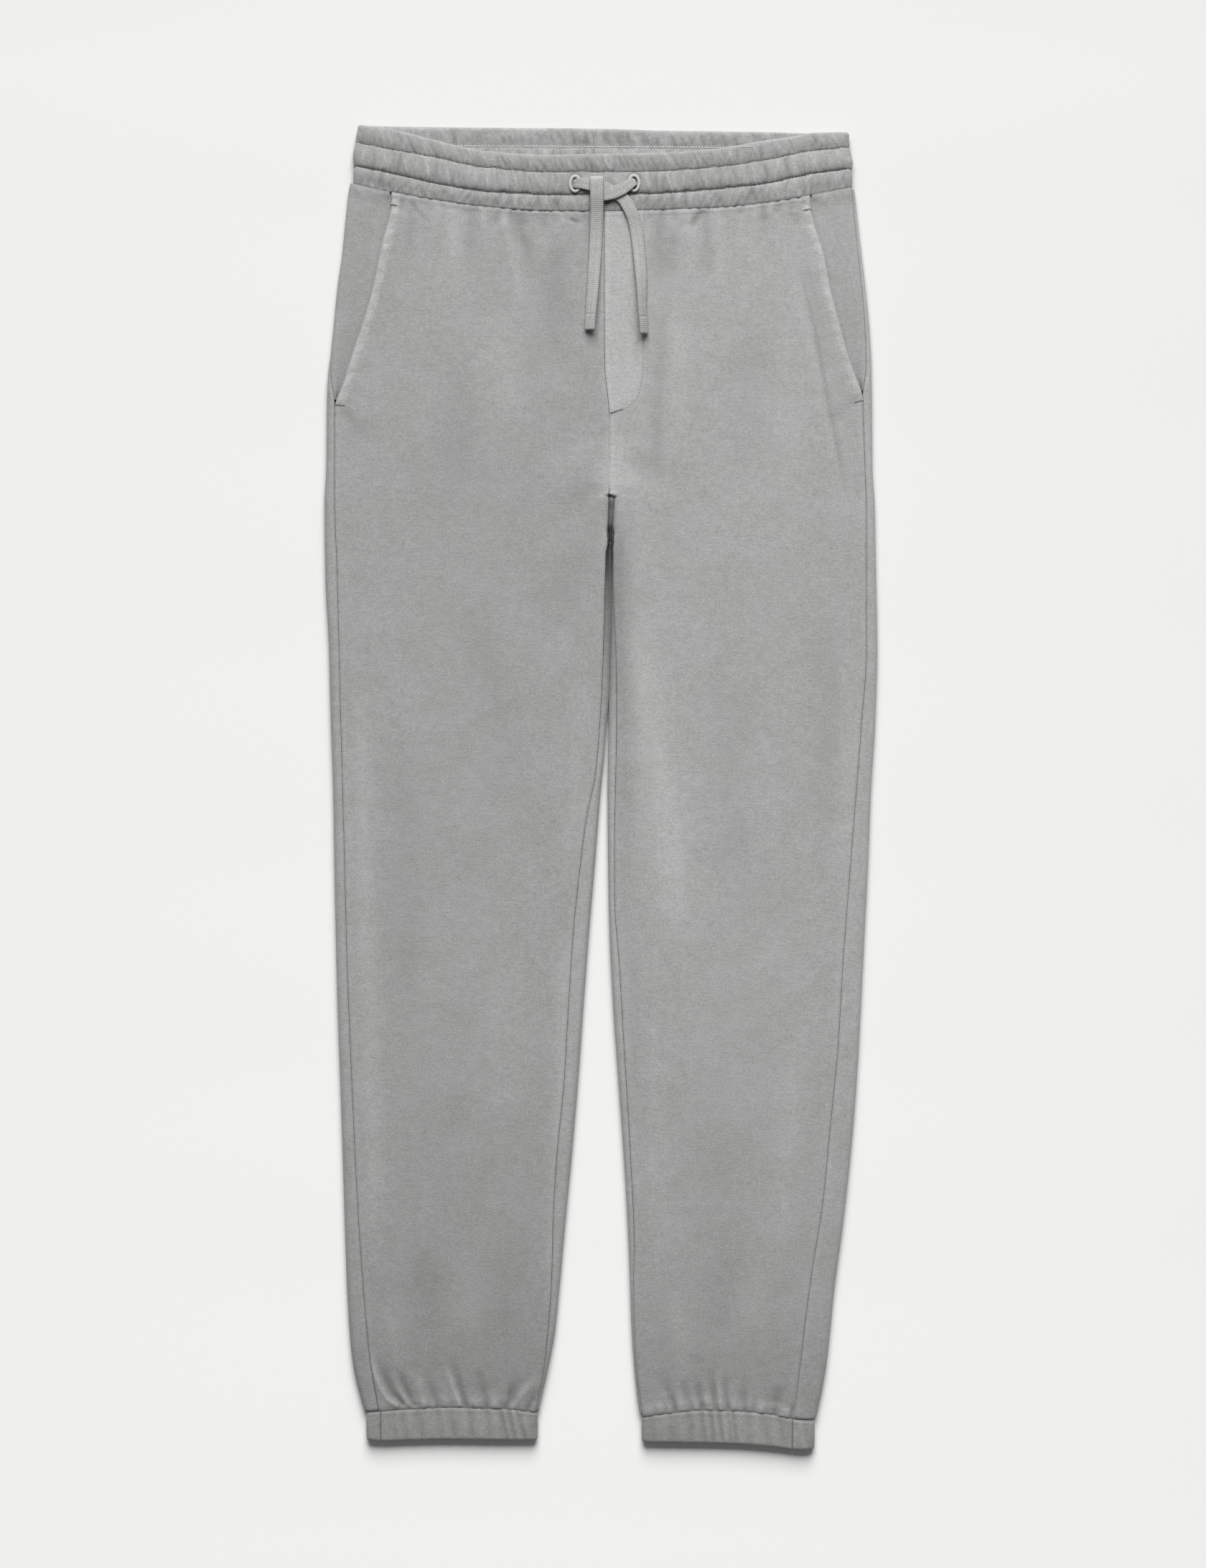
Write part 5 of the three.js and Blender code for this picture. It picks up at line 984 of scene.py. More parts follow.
def waistband(material):
    gap, slit = SEAM_GAP, -5.6
    u1 = np.array([0, .022, .05, .085, .13, .19, .27, .36, .46, .56, .66, .75, .82, .875, .92, .955, .98])
    w = np.concatenate([u1, 1 + u1, 2 + np.array([0, .022, .05, .085, .13, .19, .27, .36, .46, .56, .66, .74, .81, .865, .905, .94, .965, .983, .994, 1.0])])
    n_back, n_end, n_front = 127, 12, 596
    kind, tt, sgn = [], [], []
    for i in range(n_back + 1):
        kind.append(0), tt.append(i / n_back), sgn.append(1)
    for i in range(1, n_end):
        kind.append(1), tt.append(-90 + 180 * i / n_end), sgn.append(1)
    for i in range(n_front + 1):
        kind.append(2), tt.append(i / n_front), sgn.append(1)
    for i in range(1, n_end):
        kind.append(1), tt.append(90 - 180 * i / n_end), sgn.append(-1)
    for i in range(n_back + 1):
        kind.append(0), tt.append(1 - i / n_back), sgn.append(-1)
    kind, tt, sgn = (np.array(v)[:, None] for v in (kind, tt, sgn))
    w = w[None, :]
    channel = np.minimum(np.floor(w), 2).astype(int)
    u = w - channel
    # each channel is fullest at its own height: the middle one hangs over its lower row
    puff = np.abs(np.sin(math.pi * np.clip(u, 0, 1) ** np.array([1.4, 0.66, 0.92])[channel])) ** 0.75 * np.array([0.8, 1.35, 1.0])[channel]
    col_w = [r[0] + r[1] for r in BAND_COLUMNS]
    end_m = np.interp(w, col_w, [r[3] for r in BAND_COLUMNS])
    end_p = np.interp(w, col_w, [r[4] for r in BAND_COLUMNS])
    out = BAND_WALL / 2 + BAND_PUFF_OUT * puff
    inn = BAND_WALL / 2 + BAND_PUFF_IN * np.minimum(puff, 1.0)
    centre_p, centre_m = end_p - BAND_HALF - out, end_m + BAND_HALF + out
    ang = np.radians(tt)
    x_back = np.where(sgn > 0, lerp(slit + gap / 2, centre_p, tt), lerp(slit - gap / 2, centre_m, tt))
    x_front = lerp(centre_p, centre_m, tt)
    x_end = np.where(sgn > 0, centre_p, centre_m) + BAND_HALF * sgn * np.cos(ang)
    x = np.where(kind == 0, x_back, np.where(kind == 2, x_front, x_end))
    nx = np.where(kind == 1, sgn * np.cos(ang), 0.0)
    nz = np.where(kind == 0, -1.0, np.where(kind == 2, 1.0, np.sin(ang)))
    z = BAND_LOW + BAND_HALF + BAND_HALF * nz
    backness = (1 - nz) / 2

    def level(layer):
        if layer == "front":
            rows = [band_seam(x), band_row2(x), band_row1(x), band_top(x)]
        else:
            s = back_seam_y(x)
            rows = [s, s + 12.6, s + 31.2, band_back_top(x)]
        lo = np.choose(channel + 0 * x.astype(int), rows[:3])
        hi = np.choose(channel + 0 * x.astype(int), rows[1:])
        return lerp(lo, hi, u)
    y = lerp(level("front"), level("back"), backness)
    # wrinkles: their own on the front, round the ends and on the back
    s = np.where(kind == 0, x + 1000, x)
    for row in (1, 2):
        near = np.exp(-((w - row) / 0.10) ** 2)
        y = y + near * (0.42 * noise2(s, 0 * s, 5.2, 200 + row) + 0.25 * noise2(s, 0 * s, 2.6, 210 + row))
    fine = small_wrinkles(-196, 196, 71, 4.0, 8.0) + [(m, 0.8 * a, 0.7 * h, l, w0, min(w1, w0 + 1.1)) for m, a, h, l, w0, w1 in BAND_WRINKLES]
    far = [(m + 1000, a, 0.8 * h, l, w0, w1) for m, a, h, l, w0, w1 in small_wrinkles(-196, 196, 72, 5.0, 9.5)]
    far += [(1000 + m, a, 0.5 * h, -l, w0, min(w1, w0 + 1.1)) for m, a, h, l, w0, w1 in [(-v[0] + 3, v[1] * 1.15, v[2], v[3], v[4], v[5]) for v in BAND_WRINKLES]]
    high = 1.15 * wrinkle_height(s, w, fine + far)
    quiet = np.ones_like(x)
    for ex, ey in EYELETS.values():
        d = np.hypot((x - ex) / 1.0, (y - ey) / 1.25)
        quiet = np.where(nz > 0.5, np.minimum(quiet, smooth((d - 6.5) / 5.0)), quiet)
    high = high * quiet
    # painted light and shade on the wrinkles by their height, stronger where a channel is full, with an uneven mottle
    tone = 0.40 * high * (0.4 + 0.6 * np.minimum(puff, 1)) + 0.05 * noise2(s, y, 5.0, 81) + 0.06 * noise2(s, y, 2.2, 82)
    # the cloth is darker where a channel turns down to its row and paler where it catches the light above
    tone = tone - np.array([0.04, 0.22, -0.07])[channel] * np.exp(-(u / (0.17 + 0.07 * noise2(s, 0 * s, 3.4, 85))) ** 2) + np.array([0.04, 0.06, 0.0])[channel] * np.exp(-((1 - u) / 0.28) ** 2)
    high_in = high * np.where(kind == 0, 1.0, 0.5)
    # short crimps that start at each row and at the seam, with painted light and shade by their height
    rng = np.random.RandomState(77)
    for row in (0, 1, 2):
        place_s = -193.0
        while place_s < 193:
            half, sharp = rng.uniform(0.6, 1.1), rng.uniform(0.16, 0.50) * rng.choice([-1, 1])
            up, down, lean = rng.uniform(3.0, 9.0), rng.uniform(1.5, 5.0), rng.uniform(-0.5, 0.5)
            rise = (w - row) * np.where(w < row, np.where(row == 1, 13.0, 17.6), np.where(row == 0, 13.0, np.where(row == 1, 17.6, 13.6)))
            mid = place_s + lean * rise
            k = np.exp(-((s - mid) / (half * (1 + 0.06 * np.abs(rise)))) ** 2) * np.exp(-(np.where(rise > 0, rise / up, rise / down)) ** 2)
            k = k * (np.abs(s - place_s) < 14) * quiet
            high = high + 0.8 * sharp * k
            tone = tone + 0.46 * sharp * k
            place_s += rng.uniform(2.4, 6.0)
    # the stitched rows are narrow zigzag grooves, with puckers beside them
    for row in (1, 2):
        rise = (w - row) * np.where(w < row, np.where(row == 1, 13.0, 17.6), np.where(row == 1, 17.6, 13.6))
        zig = 0.55 * (2 * np.abs((s / 2.4) % 1 - 0.5) * 2 - 1) + 0.3 * noise2(s, 0 * s, 7.0, 225 + row)
        d = rise - zig
        k = np.exp(-(d / 0.62) ** 2)
        beat = 0.6 + 0.4 * np.sin(s * 2 * math.pi / 2.4)
        uneven = 0.65 + 0.5 * noise2(s, 0 * s, 4.0, 220 + row)
        high = high - 0.34 * k * beat
        high_in = high_in - 0.45 * k * beat
        # the cloth under a row stands up in small teeth between the stitches, with painted light on them; the row's
        # groove gets painted shade
        teeth = 0.5 - 0.5 * np.sin(s * 2 * math.pi / 2.4 + 0.5)
        lip = np.exp(-((d + 1.25) / 0.62) ** 2) * (0.35 + 0.65 * teeth)
        high = high + 0.10 * lip
        tone = tone - 0.11 * k * uneven + 0.09 * lip
    # along the band's lower seam a little painted shade, and near the band's ends, where it drops towards the pocket
    # facings, painted light on the sloping cloth
    seam_d = u * np.where(channel == 0, 13.0, 100.0) + np.where(channel == 0, 0, 50)
    t = np.where(x < 0, (x + 192.5) / 27.5, (191.5 - x) / 27.0)
    drop = 2.5 * (0.55 * t + 0.45 * smooth(t)) * (t > 0) * smooth((1.05 - t) / 0.05)
    high = high - 0.15 * np.exp(-(seam_d / 0.7) ** 2) - np.where(nz > 0.5, 0.80 * drop * np.exp(-(seam_d / 6.5) ** 2), 0)
    tone = tone - 0.05 * np.exp(-(seam_d / 0.9) ** 2) + np.where(nz > 0.5, 0.11 * drop * np.exp(-(seam_d / 5.5) ** 2), 0)
    edge_d = np.where(channel == 2, (1 - u) * 13.8, 60)
    tone = tone + 0.06 * np.exp(-((edge_d - 1.0) / 1.5) ** 2)
    # sunk inside the eyelets, with painted shade in their holes and a thin ring of painted shade round their rims
    tone_out = tone.copy()
    for ex, ey in EYELETS.values():
        d = np.hypot((x - ex) / 5.6, (y - ey) / 7.6)
        high = high - np.where(nz > 0.5, 0.55 * np.exp(-((d - 1.0) / 0.16) ** 2), 0)
        tone_out = tone_out - np.where(nz > 0.5, 0.14 * np.exp(-((d - 1.08) / 0.16) ** 2), 0)
        d = np.sqrt(((x - ex) / 2.9) ** 2 + ((y - ey) / 4.8) ** 2)
        hole = np.where(nz > 0.5, 1 - smooth((d - 0.75) / 0.45), 0)
        high = high - 1.7 * hole
        tone_out = tone_out - 0.80 * hole
    # the top edge is a soft fold: the wall narrows to it on a round
    t = np.clip(1 - edge_d / 2.0, 0, 1)
    narrow = np.sqrt(np.maximum(0.0, 1 - t * t))
    mid = (out - inn) / 2
    half = (out + inn) / 2
    out2, inn2 = mid + half * np.maximum(narrow, 0.12), -mid + half * np.maximum(narrow, 0.12)
    t = np.clip(1 - seam_d / 1.2, 0, 1)
    out2 = out2 - 0.25 * t * t
    high, high_in = np.clip(high, -2.4, 1.1), np.clip(high_in, -0.8, 0.6)
    outer = np.stack([x + nx * (out2 + high), y, np.maximum(z + nz * (out2 + high), 0.0)], -1)
    inner = np.stack([x - nx * (inn2 - 0.35 * high_in), y, z - nz * (inn2 - 0.9 * high_in)], -1)
    tone_in = np.clip(0.02 + np.where(kind == 0, 1.9, 0.6) * tone, -0.3, 0.24)
    tone_out = np.clip(tone_out + 0.09 * smooth((x - 112) / 30), -0.85, 0.26)
    obj = shell("waistband_cloth", outer, inner, material, tone_out, tone_in, half=False)
    return obj, area_of(outer)


# ---------------------------------------------------------------- cuffs
# Creases across the cuffs: place along the front at the seam and at the hem, half width, height.
CUFF_CREASES = {
    RIGHT: [
        (560, 563, 2.2, -0.40), (571, 573, 2.0, 0.26), (582, 585, 2.0, -0.46), (597, 598, 2.4, 0.24), (609, 611, 1.8, -0.36),
        (616, 620, 1.6, 0.34), (627, 630, 2.0, -0.34), (643, 646, 2.2, 0.30), (652, 656, 1.7, -0.42), (665, 668, 2.0, 0.28),
        (676, 680, 1.6, -0.44), (686, 690, 1.5, 0.36), (696, 702, 1.5, -0.72), (702, 708, 1.2, 0.42), (708, 713, 1.4, -0.70),
        (714, 719, 1.2, 0.40), (720, 727, 1.6, -0.74), (728, 734, 1.5, 0.30), (737, 740, 1.8, -0.30), (546, 547, 2.0, -0.26)],
    LEFT: [
        (906, 908, 2.0, -0.30), (922, 924, 2.2, 0.24), (934, 936, 2.0, -0.34), (948, 950, 2.0, 0.26), (958, 961, 1.8, -0.38),
        (968, 971, 1.8, 0.28), (977, 981, 1.7, -0.48), (983, 986, 1.3, 0.36), (989, 993, 1.5, -0.70), (995, 999, 1.2, 0.40),
        (1000, 1005, 1.4, -0.66), (1007, 1011, 1.3, 0.36), (1013, 1017, 1.4, -0.58), (1021, 1024, 1.6, -0.72), (1028, 1030, 1.6, 0.36),
        (1040, 1042, 2.0, -0.36), (1052, 1054, 2.0, 0.26), (1063, 1066, 1.8, -0.40), (1076, 1078, 2.0, 0.26), (1087, 1090, 1.8, -0.34),
        (1112, 1119, 2.4, 0.40), (1119, 1126, 2.0, -0.44)],
}


def cuff(side, material):
    c = CUFF[side]
    low, high_x = c["x0"] + CUFF_R, c["x1"] - CUFF_R
    sx, snx, snz, arc = [], [], [], []

    def top(a, b):
        n = max(2, int(abs(b - a) / 0.85))
        for i in range(n + 1):
            sx.append(lerp(a, b, i / n)), snx.append(0.0), snz.append(1.0)
    top(c["slit"] - SEAM_GAP / 2, low)
    for i in range(1, 14):
        a = math.radians(90 - 180 * i / 14)
        sx.append(low), snx.append(-math.cos(a)), snz.append(math.sin(a))
    n = int((high_x - low) / 1.7)
    for i in range(n + 1):
        sx.append(lerp(low, high_x, i / n)), snx.append(0.0), snz.append(-1.0)
    for i in range(1, 14):
        a = math.radians(-90 + 180 * i / 14)
        sx.append(high_x), snx.append(math.cos(a)), snz.append(math.sin(a))
    top(high_x, c["slit"] + SEAM_GAP / 2)
    sx, nx, nz = (np.array(v)[:, None] for v in (sx, snx, snz))
    v = np.array([0, .02, .05, .09, .14, .2, .27, .34, .42, .5, .58, .66, .73, .79, .84, .88, .915, .945, .965, .982, .993, 1.0])[None, :]
    seam, hem = cuff_seam(side, sx, nz), c["hem"](sx)
    length = seam - hem
    y = lerp(seam, hem, v)
    from_seam, from_hem = v * length, (1 - v) * length
    x = sx + 0 * v
    # creases
    high = np.zeros_like(x)
    for a, b, half, h in CUFF_CREASES[side]:
        m = (lerp(a, b + (4.0 if side == RIGHT else 2.0), v) - 837.0) * 0.56
        end = smooth(from_seam / 5 + 0.55) * smooth(from_hem / 5 + 0.45)
        high += np.where(nz > 0.5, h * np.exp(-((x - m) / half) ** 2) * end, 0)
    rng = np.random.RandomState(81 + side)
    s = low + 3
    while s < high_x - 3:
        half, h, lean = rng.uniform(1.4, 2.6), rng.uniform(0.25, 0.55) * rng.choice([-1, 1]), rng.uniform(-3, 3)
        high += np.where(nz < -0.5, -abs(h) * np.exp(-((x - s - lean * (v - 0.5)) / half) ** 2), 0)
        s += rng.uniform(5, 10)
    s = low + 3
    while s < high_x - 3:
        half, h, lean = rng.uniform(1.0, 1.6), rng.uniform(0.08, 0.20) * rng.choice([-1, 1]), rng.uniform(-2, 2)
        high += np.where(nz > 0.5, h * np.exp(-((x - s - lean * (v - 0.5)) / half) ** 2) * smooth(from_hem / 4), 0)
        s += rng.uniform(3, 6)
    # painted light and shade on the creases by their height, with an uneven mottle
    tone = 0.24 * high + 0.04 * noise2(x, y, 6.0, 83) + 0.04 * noise2(x, y, 2.4, 84)
    high = 0.85 * high
    teeth = 0.5 + 0.5 * np.sin(x * 2 * math.pi / 2.8 + 0.8)
    high += 0.28 * np.sin(math.pi * v) - 0.35 * np.exp(-(from_seam / (0.5 + 0.5 * teeth)) ** 2) + 0.2 * np.exp(-((from_seam - 1.9) / 1.1) ** 2)
    # painted shade in the seam's groove and painted light on the small teeth beside it
    tone += -(0.04 + 0.12 * teeth) * np.exp(-(from_seam / 0.8) ** 2) + (0.02 + 0.07 * teeth) * np.exp(-((from_seam - 1.7) / 0.9) ** 2)
    tone += 0.03 * np.exp(-((from_hem - 1.6) / 1.4) ** 2)
    # the cuff's own joining seam, on the front near the side
    sd = np.where(nz > 0.5, np.abs(x - c["slit"]), 40.0)
    high += groove(sd, deep=0.7, wide=0.6, ridge=0.22, off=2.2, spread=1.3)
    tone += seam_tone(sd, dark=0.14, light=0.03, off=2.0, spread=1.2)
    y = y + np.exp(-(from_seam / 1.2) ** 2) * 0.12 * (teeth - 0.5)
    # bottom corner of the wearer's left cuff turns under in a soft round
    t = np.clip(1 - from_hem / 2.6, 0, 1)
    narrow = np.maximum(np.sqrt(np.maximum(0, 1 - t * t)), 0.10)
    r_mid, r_half = CUFF_R - CUFF_WALL / 2, CUFF_WALL / 2 - 0.1
    r_out, r_in = r_mid + r_half * narrow, r_mid - r_half * narrow
    lifted = np.clip(high, -1.3, 0.75)
    zo = CUFF_R + nz * (r_out + lifted)
    outer = np.stack([sx + nx * (r_out + lifted), y, np.maximum(zo, 0.0)], -1)
    inner = np.stack([sx + nx * (r_in - 0.1), y, CUFF_R + nz * (r_in - 0.1 + 0.3 * np.minimum(lifted, 0))], -1)
    # both cuffs are a little darker towards the left of the picture
    tone = np.clip(tone - 0.01 - (0.055 if side == RIGHT else 0.07 * smooth((96 - x) / 40)), -0.4, 0.2)
    obj = shell(f"cuff_{WORD[side]}_cloth", outer, inner, material, tone, tone * 0.3 - 0.06, half=False)
    return obj, area_of(outer)


# ---------------------------------------------------------------- eyelets, thread and cords
def tree_of(objects):
    verts, polys = [], []
    for o in objects:
        n = len(verts)
        verts += [v.co.copy() for v in o.data.vertices]
        polys += [[n + i for i in p.vertices] for p in o.data.polygons]
    return BVHTree.FromPolygons(verts, polys)


def ground(tree, x, y, top=0.03):
    """Height of the cloth at a place, in millimetres, and its normal."""
    hit, normal, _, _ = tree.ray_cast(Vector((x * MM, y * MM, top)), Vector((0, 0, -1)))
    return (hit.z / MM, normal) if hit else (9.0, Vector((0, 0, 1)))


def eyelet(side, tree, material):
    """An oval of satin stitches, worked over a rim: each stitch is a ridge across it."""
    cx, cy = EYELETS[side]
    around, across, wraps = 264, 12, 44
    rng = np.random.RandomState(90 + side)
    wob = np.repeat(rng.uniform(-0.16, 0.16, wraps), around // wraps)
    verts, faces = [], []
    for i in range(around):
        a = 2 * math.pi * i / around
        ridge = abs(math.sin(wraps * a / 2)) ** 0.7
        z0 = 10.25
        for j in range(across):
            b = 2 * math.pi * j / across
            r = 1.18 + 0.12 * ridge + 0.25 * wob[i] * (math.cos(b) > 0.3)
            off = -1.1 + r * math.cos(b) * 1.0
            h = (0.80 + 0.16 * ridge) * math.sin(b)
            x = cx + (4.9 + off) * math.cos(a)
            y = cy + (7.0 + off) * math.sin(a)
            verts.append((x * MM, y * MM, (z0 + 0.5 + h) * MM))
    for i in range(around):
        for j in range(across):
            k, l = (i + 1) % around, (j + 1) % across
            faces.append([i * across + j, i * across + l, k * across + l, k * across + j])
    tone = np.ones(len(verts))
    for i in range(around):
        tone[i * across:(i + 1) * across] = 0.86 + 0.18 * abs(math.sin(wraps * (2 * math.pi * i / around) / 2)) ** 0.6
    return new_object(f"eyelet_{WORD[side]}_stitched", verts, faces, material, tone=tone, sharp=0)


def thread(name, stitches, material, sides=6):
    """Joined stitches. Each is (start, end, half width, rise, tone), with the ends on the cloth, in millimetres."""
    verts, faces, tone = [], [], []
    for p0, p1, r, rise, shade in stitches:
        p0, p1 = np.array(p0, float), np.array(p1, float)
        run = p1 - p0
        span = np.linalg.norm(run)
        run = run / span
        level = np.cross([0, 0, 1.0], run)
        level /= np.linalg.norm(level)
        up = np.cross(run, level)
        base = len(verts)
        rings = [(0.0, 0.25), (0.12, 0.8), (0.32, 1.0), (0.68, 1.0), (0.88, 0.8), (1.0, 0.25)]
        for t, k in rings:
            c = p0 + run * span * t + up * (rise * math.sin(math.pi * t) - 0.15)
            for i in range(sides):
                a = 2 * math.pi * i / sides
                verts.append((c + level * r * k * math.cos(a) + up * r * 0.8 * k * math.sin(a)) * MM)
                tone.append(shade)
        for j in range(len(rings) - 1):
            for i in range(sides):
                k = (i + 1) % sides
                faces.append([base + j * sides + i, base + j * sides + k, base + (j + 1) * sides + k, base + (j + 1) * sides + i])
        faces.append([base + i for i in range(sides)][::-1])
        faces.append([base + (len(rings) - 1) * sides + i for i in range(sides)])
    return new_object(name, np.array(verts), faces, material, tone=np.array(tone), sharp=0)


def along_line(points, period, share, tree, r, rise, shade, seed, lift=0.12, zigzag=0.0, skip=()):
    """Stitches along a line of places on the cloth."""
    p = np.array(points, float)
    run = np.concatenate([[0], np.cumsum(np.hypot(*np.diff(p, axis=0).T))])
    rng = np.random.RandomState(seed)
    out, s, k = [], 0.3, 0
    while s + period * share < run[-1]:
        e = s + period * share * rng.uniform(0.94, 1.06)
        ends = []
        for n, q in enumerate((s, e)):
            x, y = np.interp(q, run, p[:, 0]), np.interp(q, run, p[:, 1])
            if zigzag:
                d = np.array([np.interp(q + 0.5, run, p[:, 0]) - np.interp(q - 0.5, run, p[:, 0]), np.interp(q + 0.5, run, p[:, 1]) - np.interp(q - 0.5, run, p[:, 1])])
                d /= max(1e-6, np.hypot(*d))
                off = zigzag * (1 if (k + n) % 2 else -1)
                x, y = x - d[1] * off, y + d[0] * off
            z, _ = ground(tree, x, y)
            ends.append((x, y, z + lift))
        mid = ends[0]
        if not any(math.hypot(mid[0] - sx, mid[1] - sy) < sr for sx, sy, sr in skip):
            out.append((ends[0], ends[1], r * rng.uniform(0.92, 1.08), rise, shade * rng.uniform(0.96, 1.04)))
        s += period if not zigzag else period * share * 1.02
        k += 1
    return out


def bartack(p0, p1, wide, tree, shade, seed, count=13):
    """A dense bar of close zigzag stitches from p0 to p1."""
    rng = np.random.RandomState(seed)
    a, b = np.array(p0, float), np.array(p1, float)
    d = (b - a) / np.linalg.norm(b - a)
    n = np.array([-d[1], d[0]])
    out = []
    for i in range(count):
        t = (i + 0.5) / count
        c = a + (b - a) * t
        q0, q1 = c - n * wide / 2 - d * 0.25, c + n * wide / 2 + d * 0.25
        q0, q1 = q0 + rng.uniform(-0.1, 0.1, 2), q1 + rng.uniform(-0.1, 0.1, 2)
        z0, z1 = ground(tree, *q0)[0], ground(tree, *q1)[0]
        z = max(z0, z1) + 0.22
        out.append(((q0[0], q0[1], z - 0.1), (q1[0], q1[1], z - 0.1), 0.34, 0.28, shade * rng.uniform(0.94, 1.06)))
    return out


# The drawcord, as two free ends of one flat braid: middle line, the braid's across direction, and its width.
# The right end leaves the wearer's left eyelet, goes over the other, round under it and down over the front.
CORD_A = [
    (-21.2, 470.9, 9.3, (0, 1, 0.1), 6.0), (-19.8, 470.9, 11.2, (0, 1, 0.1), 7.2), (-16.8, 471.0, 12.2, (0.05, 1, 0.1), 8.2),
    (-12.0, 470.6, 12.7, (0.12, 1, 0.0), 9.2), (-6.7, 469.4, 13.6, (0.2, 1, 0), 9.6), (-1.2, 468.2, 13.9, (0.2, 1, 0), 9.8),
    (3.6, 466.8, 13.3, (0.3, 1, 0), 9.8), (8.0, 465.0, 12.3, (0.42, 1, 0), 9.8), (12.2, 463.0, 11.75, (0.55, 1, 0), 9.8),
    (15.8, 460.6, 11.7, (0.75, 0.9, 0), 9.8), (18.8, 457.4, 11.9, (0.95, 0.75, 0), 9.9), (21.3, 453.4, 12.1, (1, 0.6, 0), 10.0),
    (23.6, 448.8, 12.0, (1, 0.45, 0.0), 10.0), (25.6, 443.4, 11.5, (1, 0.34, 0.0), 10.0), (27.2, 437.0, 11.0, (1, 0.25, -0.04), 10.0),
    (28.6, 428.0, 11.0, (1, 0.17, -0.10), 10.0), (29.9, 417.0, 11.3, (1, 0.12, -0.20), 10.0), (30.9, 406.0, 12.0, (1, 0.08, -0.40), 10.0),
    (31.6, 395.0, 12.9, (1, 0.06, -0.68), 10.0), (32.0, 384.0, 13.6, (1, 0.0, -1.0), 10.0), (32.3, 373.0, 14.1, (1, 0.0, -1.3), 10.0),
    (33.0, 363.5, 14.2, (1, 0.0, -1.45), 10.0), (33.7, 353.6, 14.2, (1, 0.0, -1.45), 10.0),
]
CORD_B = [
    (26.6, 472.3, 9.4, (0.5, -1, 0), 5.6), (25.6, 472.0, 11.2, (0.5, -1, 0), 6.4), (23.6, 470.9, 12.6, (0.5, -1, 0), 7.6),
    (20.6, 469.0, 13.5, (0.55, -1, 0), 9.0), (16.4, 466.4, 14.0, (0.5, -1, 0), 9.8), (12.0, 464.3, 14.2, (0.45, -1, 0), 10.0),
    (7.8, 462.7, 14.3, (0.30, -1, 0), 9.6), (4.0, 461.6, 13.6, (0.15, -1, 0), 8.6), (0.9, 461.4, 12.4, (-0.15, -1, 0), 7.6),
    (-1.6, 463.0, 11.6, (-0.6, -0.8, 0), 7.4), (-3.0, 466.0, 11.5, (-1, -0.4, 0), 8.0), (-3.5, 470.0, 11.6, (-1, -0.1, 0), 9.0),
    (-3.5, 472.4, 12.0, (-1, 0, 0), 10.0), (-3.4, 474.6, 13.2, (-1, 0, 0), 10.4), (-3.3, 475.4, 14.9, (-1, 0, 0), 10.6),
    (-3.3, 474.2, 16.3, (-1, 0, 0), 10.7), (-3.3, 471.2, 16.8, (-1, 0, 0), 10.7), (-3.2, 467.5, 16.7, (-1, 0, 0), 10.5),
    (-3.1, 461.0, 16.1, (-1, 0, 0), 10.4), (-3.1, 454.5, 14.6, (-1, 0, 0), 10.3), (-3.2, 448.5, 13.0, (-1, 0, 0), 10.2),
    (-3.4, 441.0, 11.6, (-1, 0, 0), 10.1), (-3.7, 432.0, 10.9, (-1, 0, 0), 10.0), (-4.3, 420.0, 10.8, (-1, 0, -0.05), 10.0),
    (-5.1, 407.0, 11.2, (-1, 0, -0.20), 10.0), (-6.1, 394.0, 11.9, (-1, 0, -0.38), 10.0), (-7.0, 381.0, 12.6, (-1, 0, -0.56), 10.0),
    (-7.9, 369.0, 13.1, (-1, 0, -0.75), 10.0), (-8.7, 356.6, 13.4, (-1, 0, -0.84), 10.0),
]


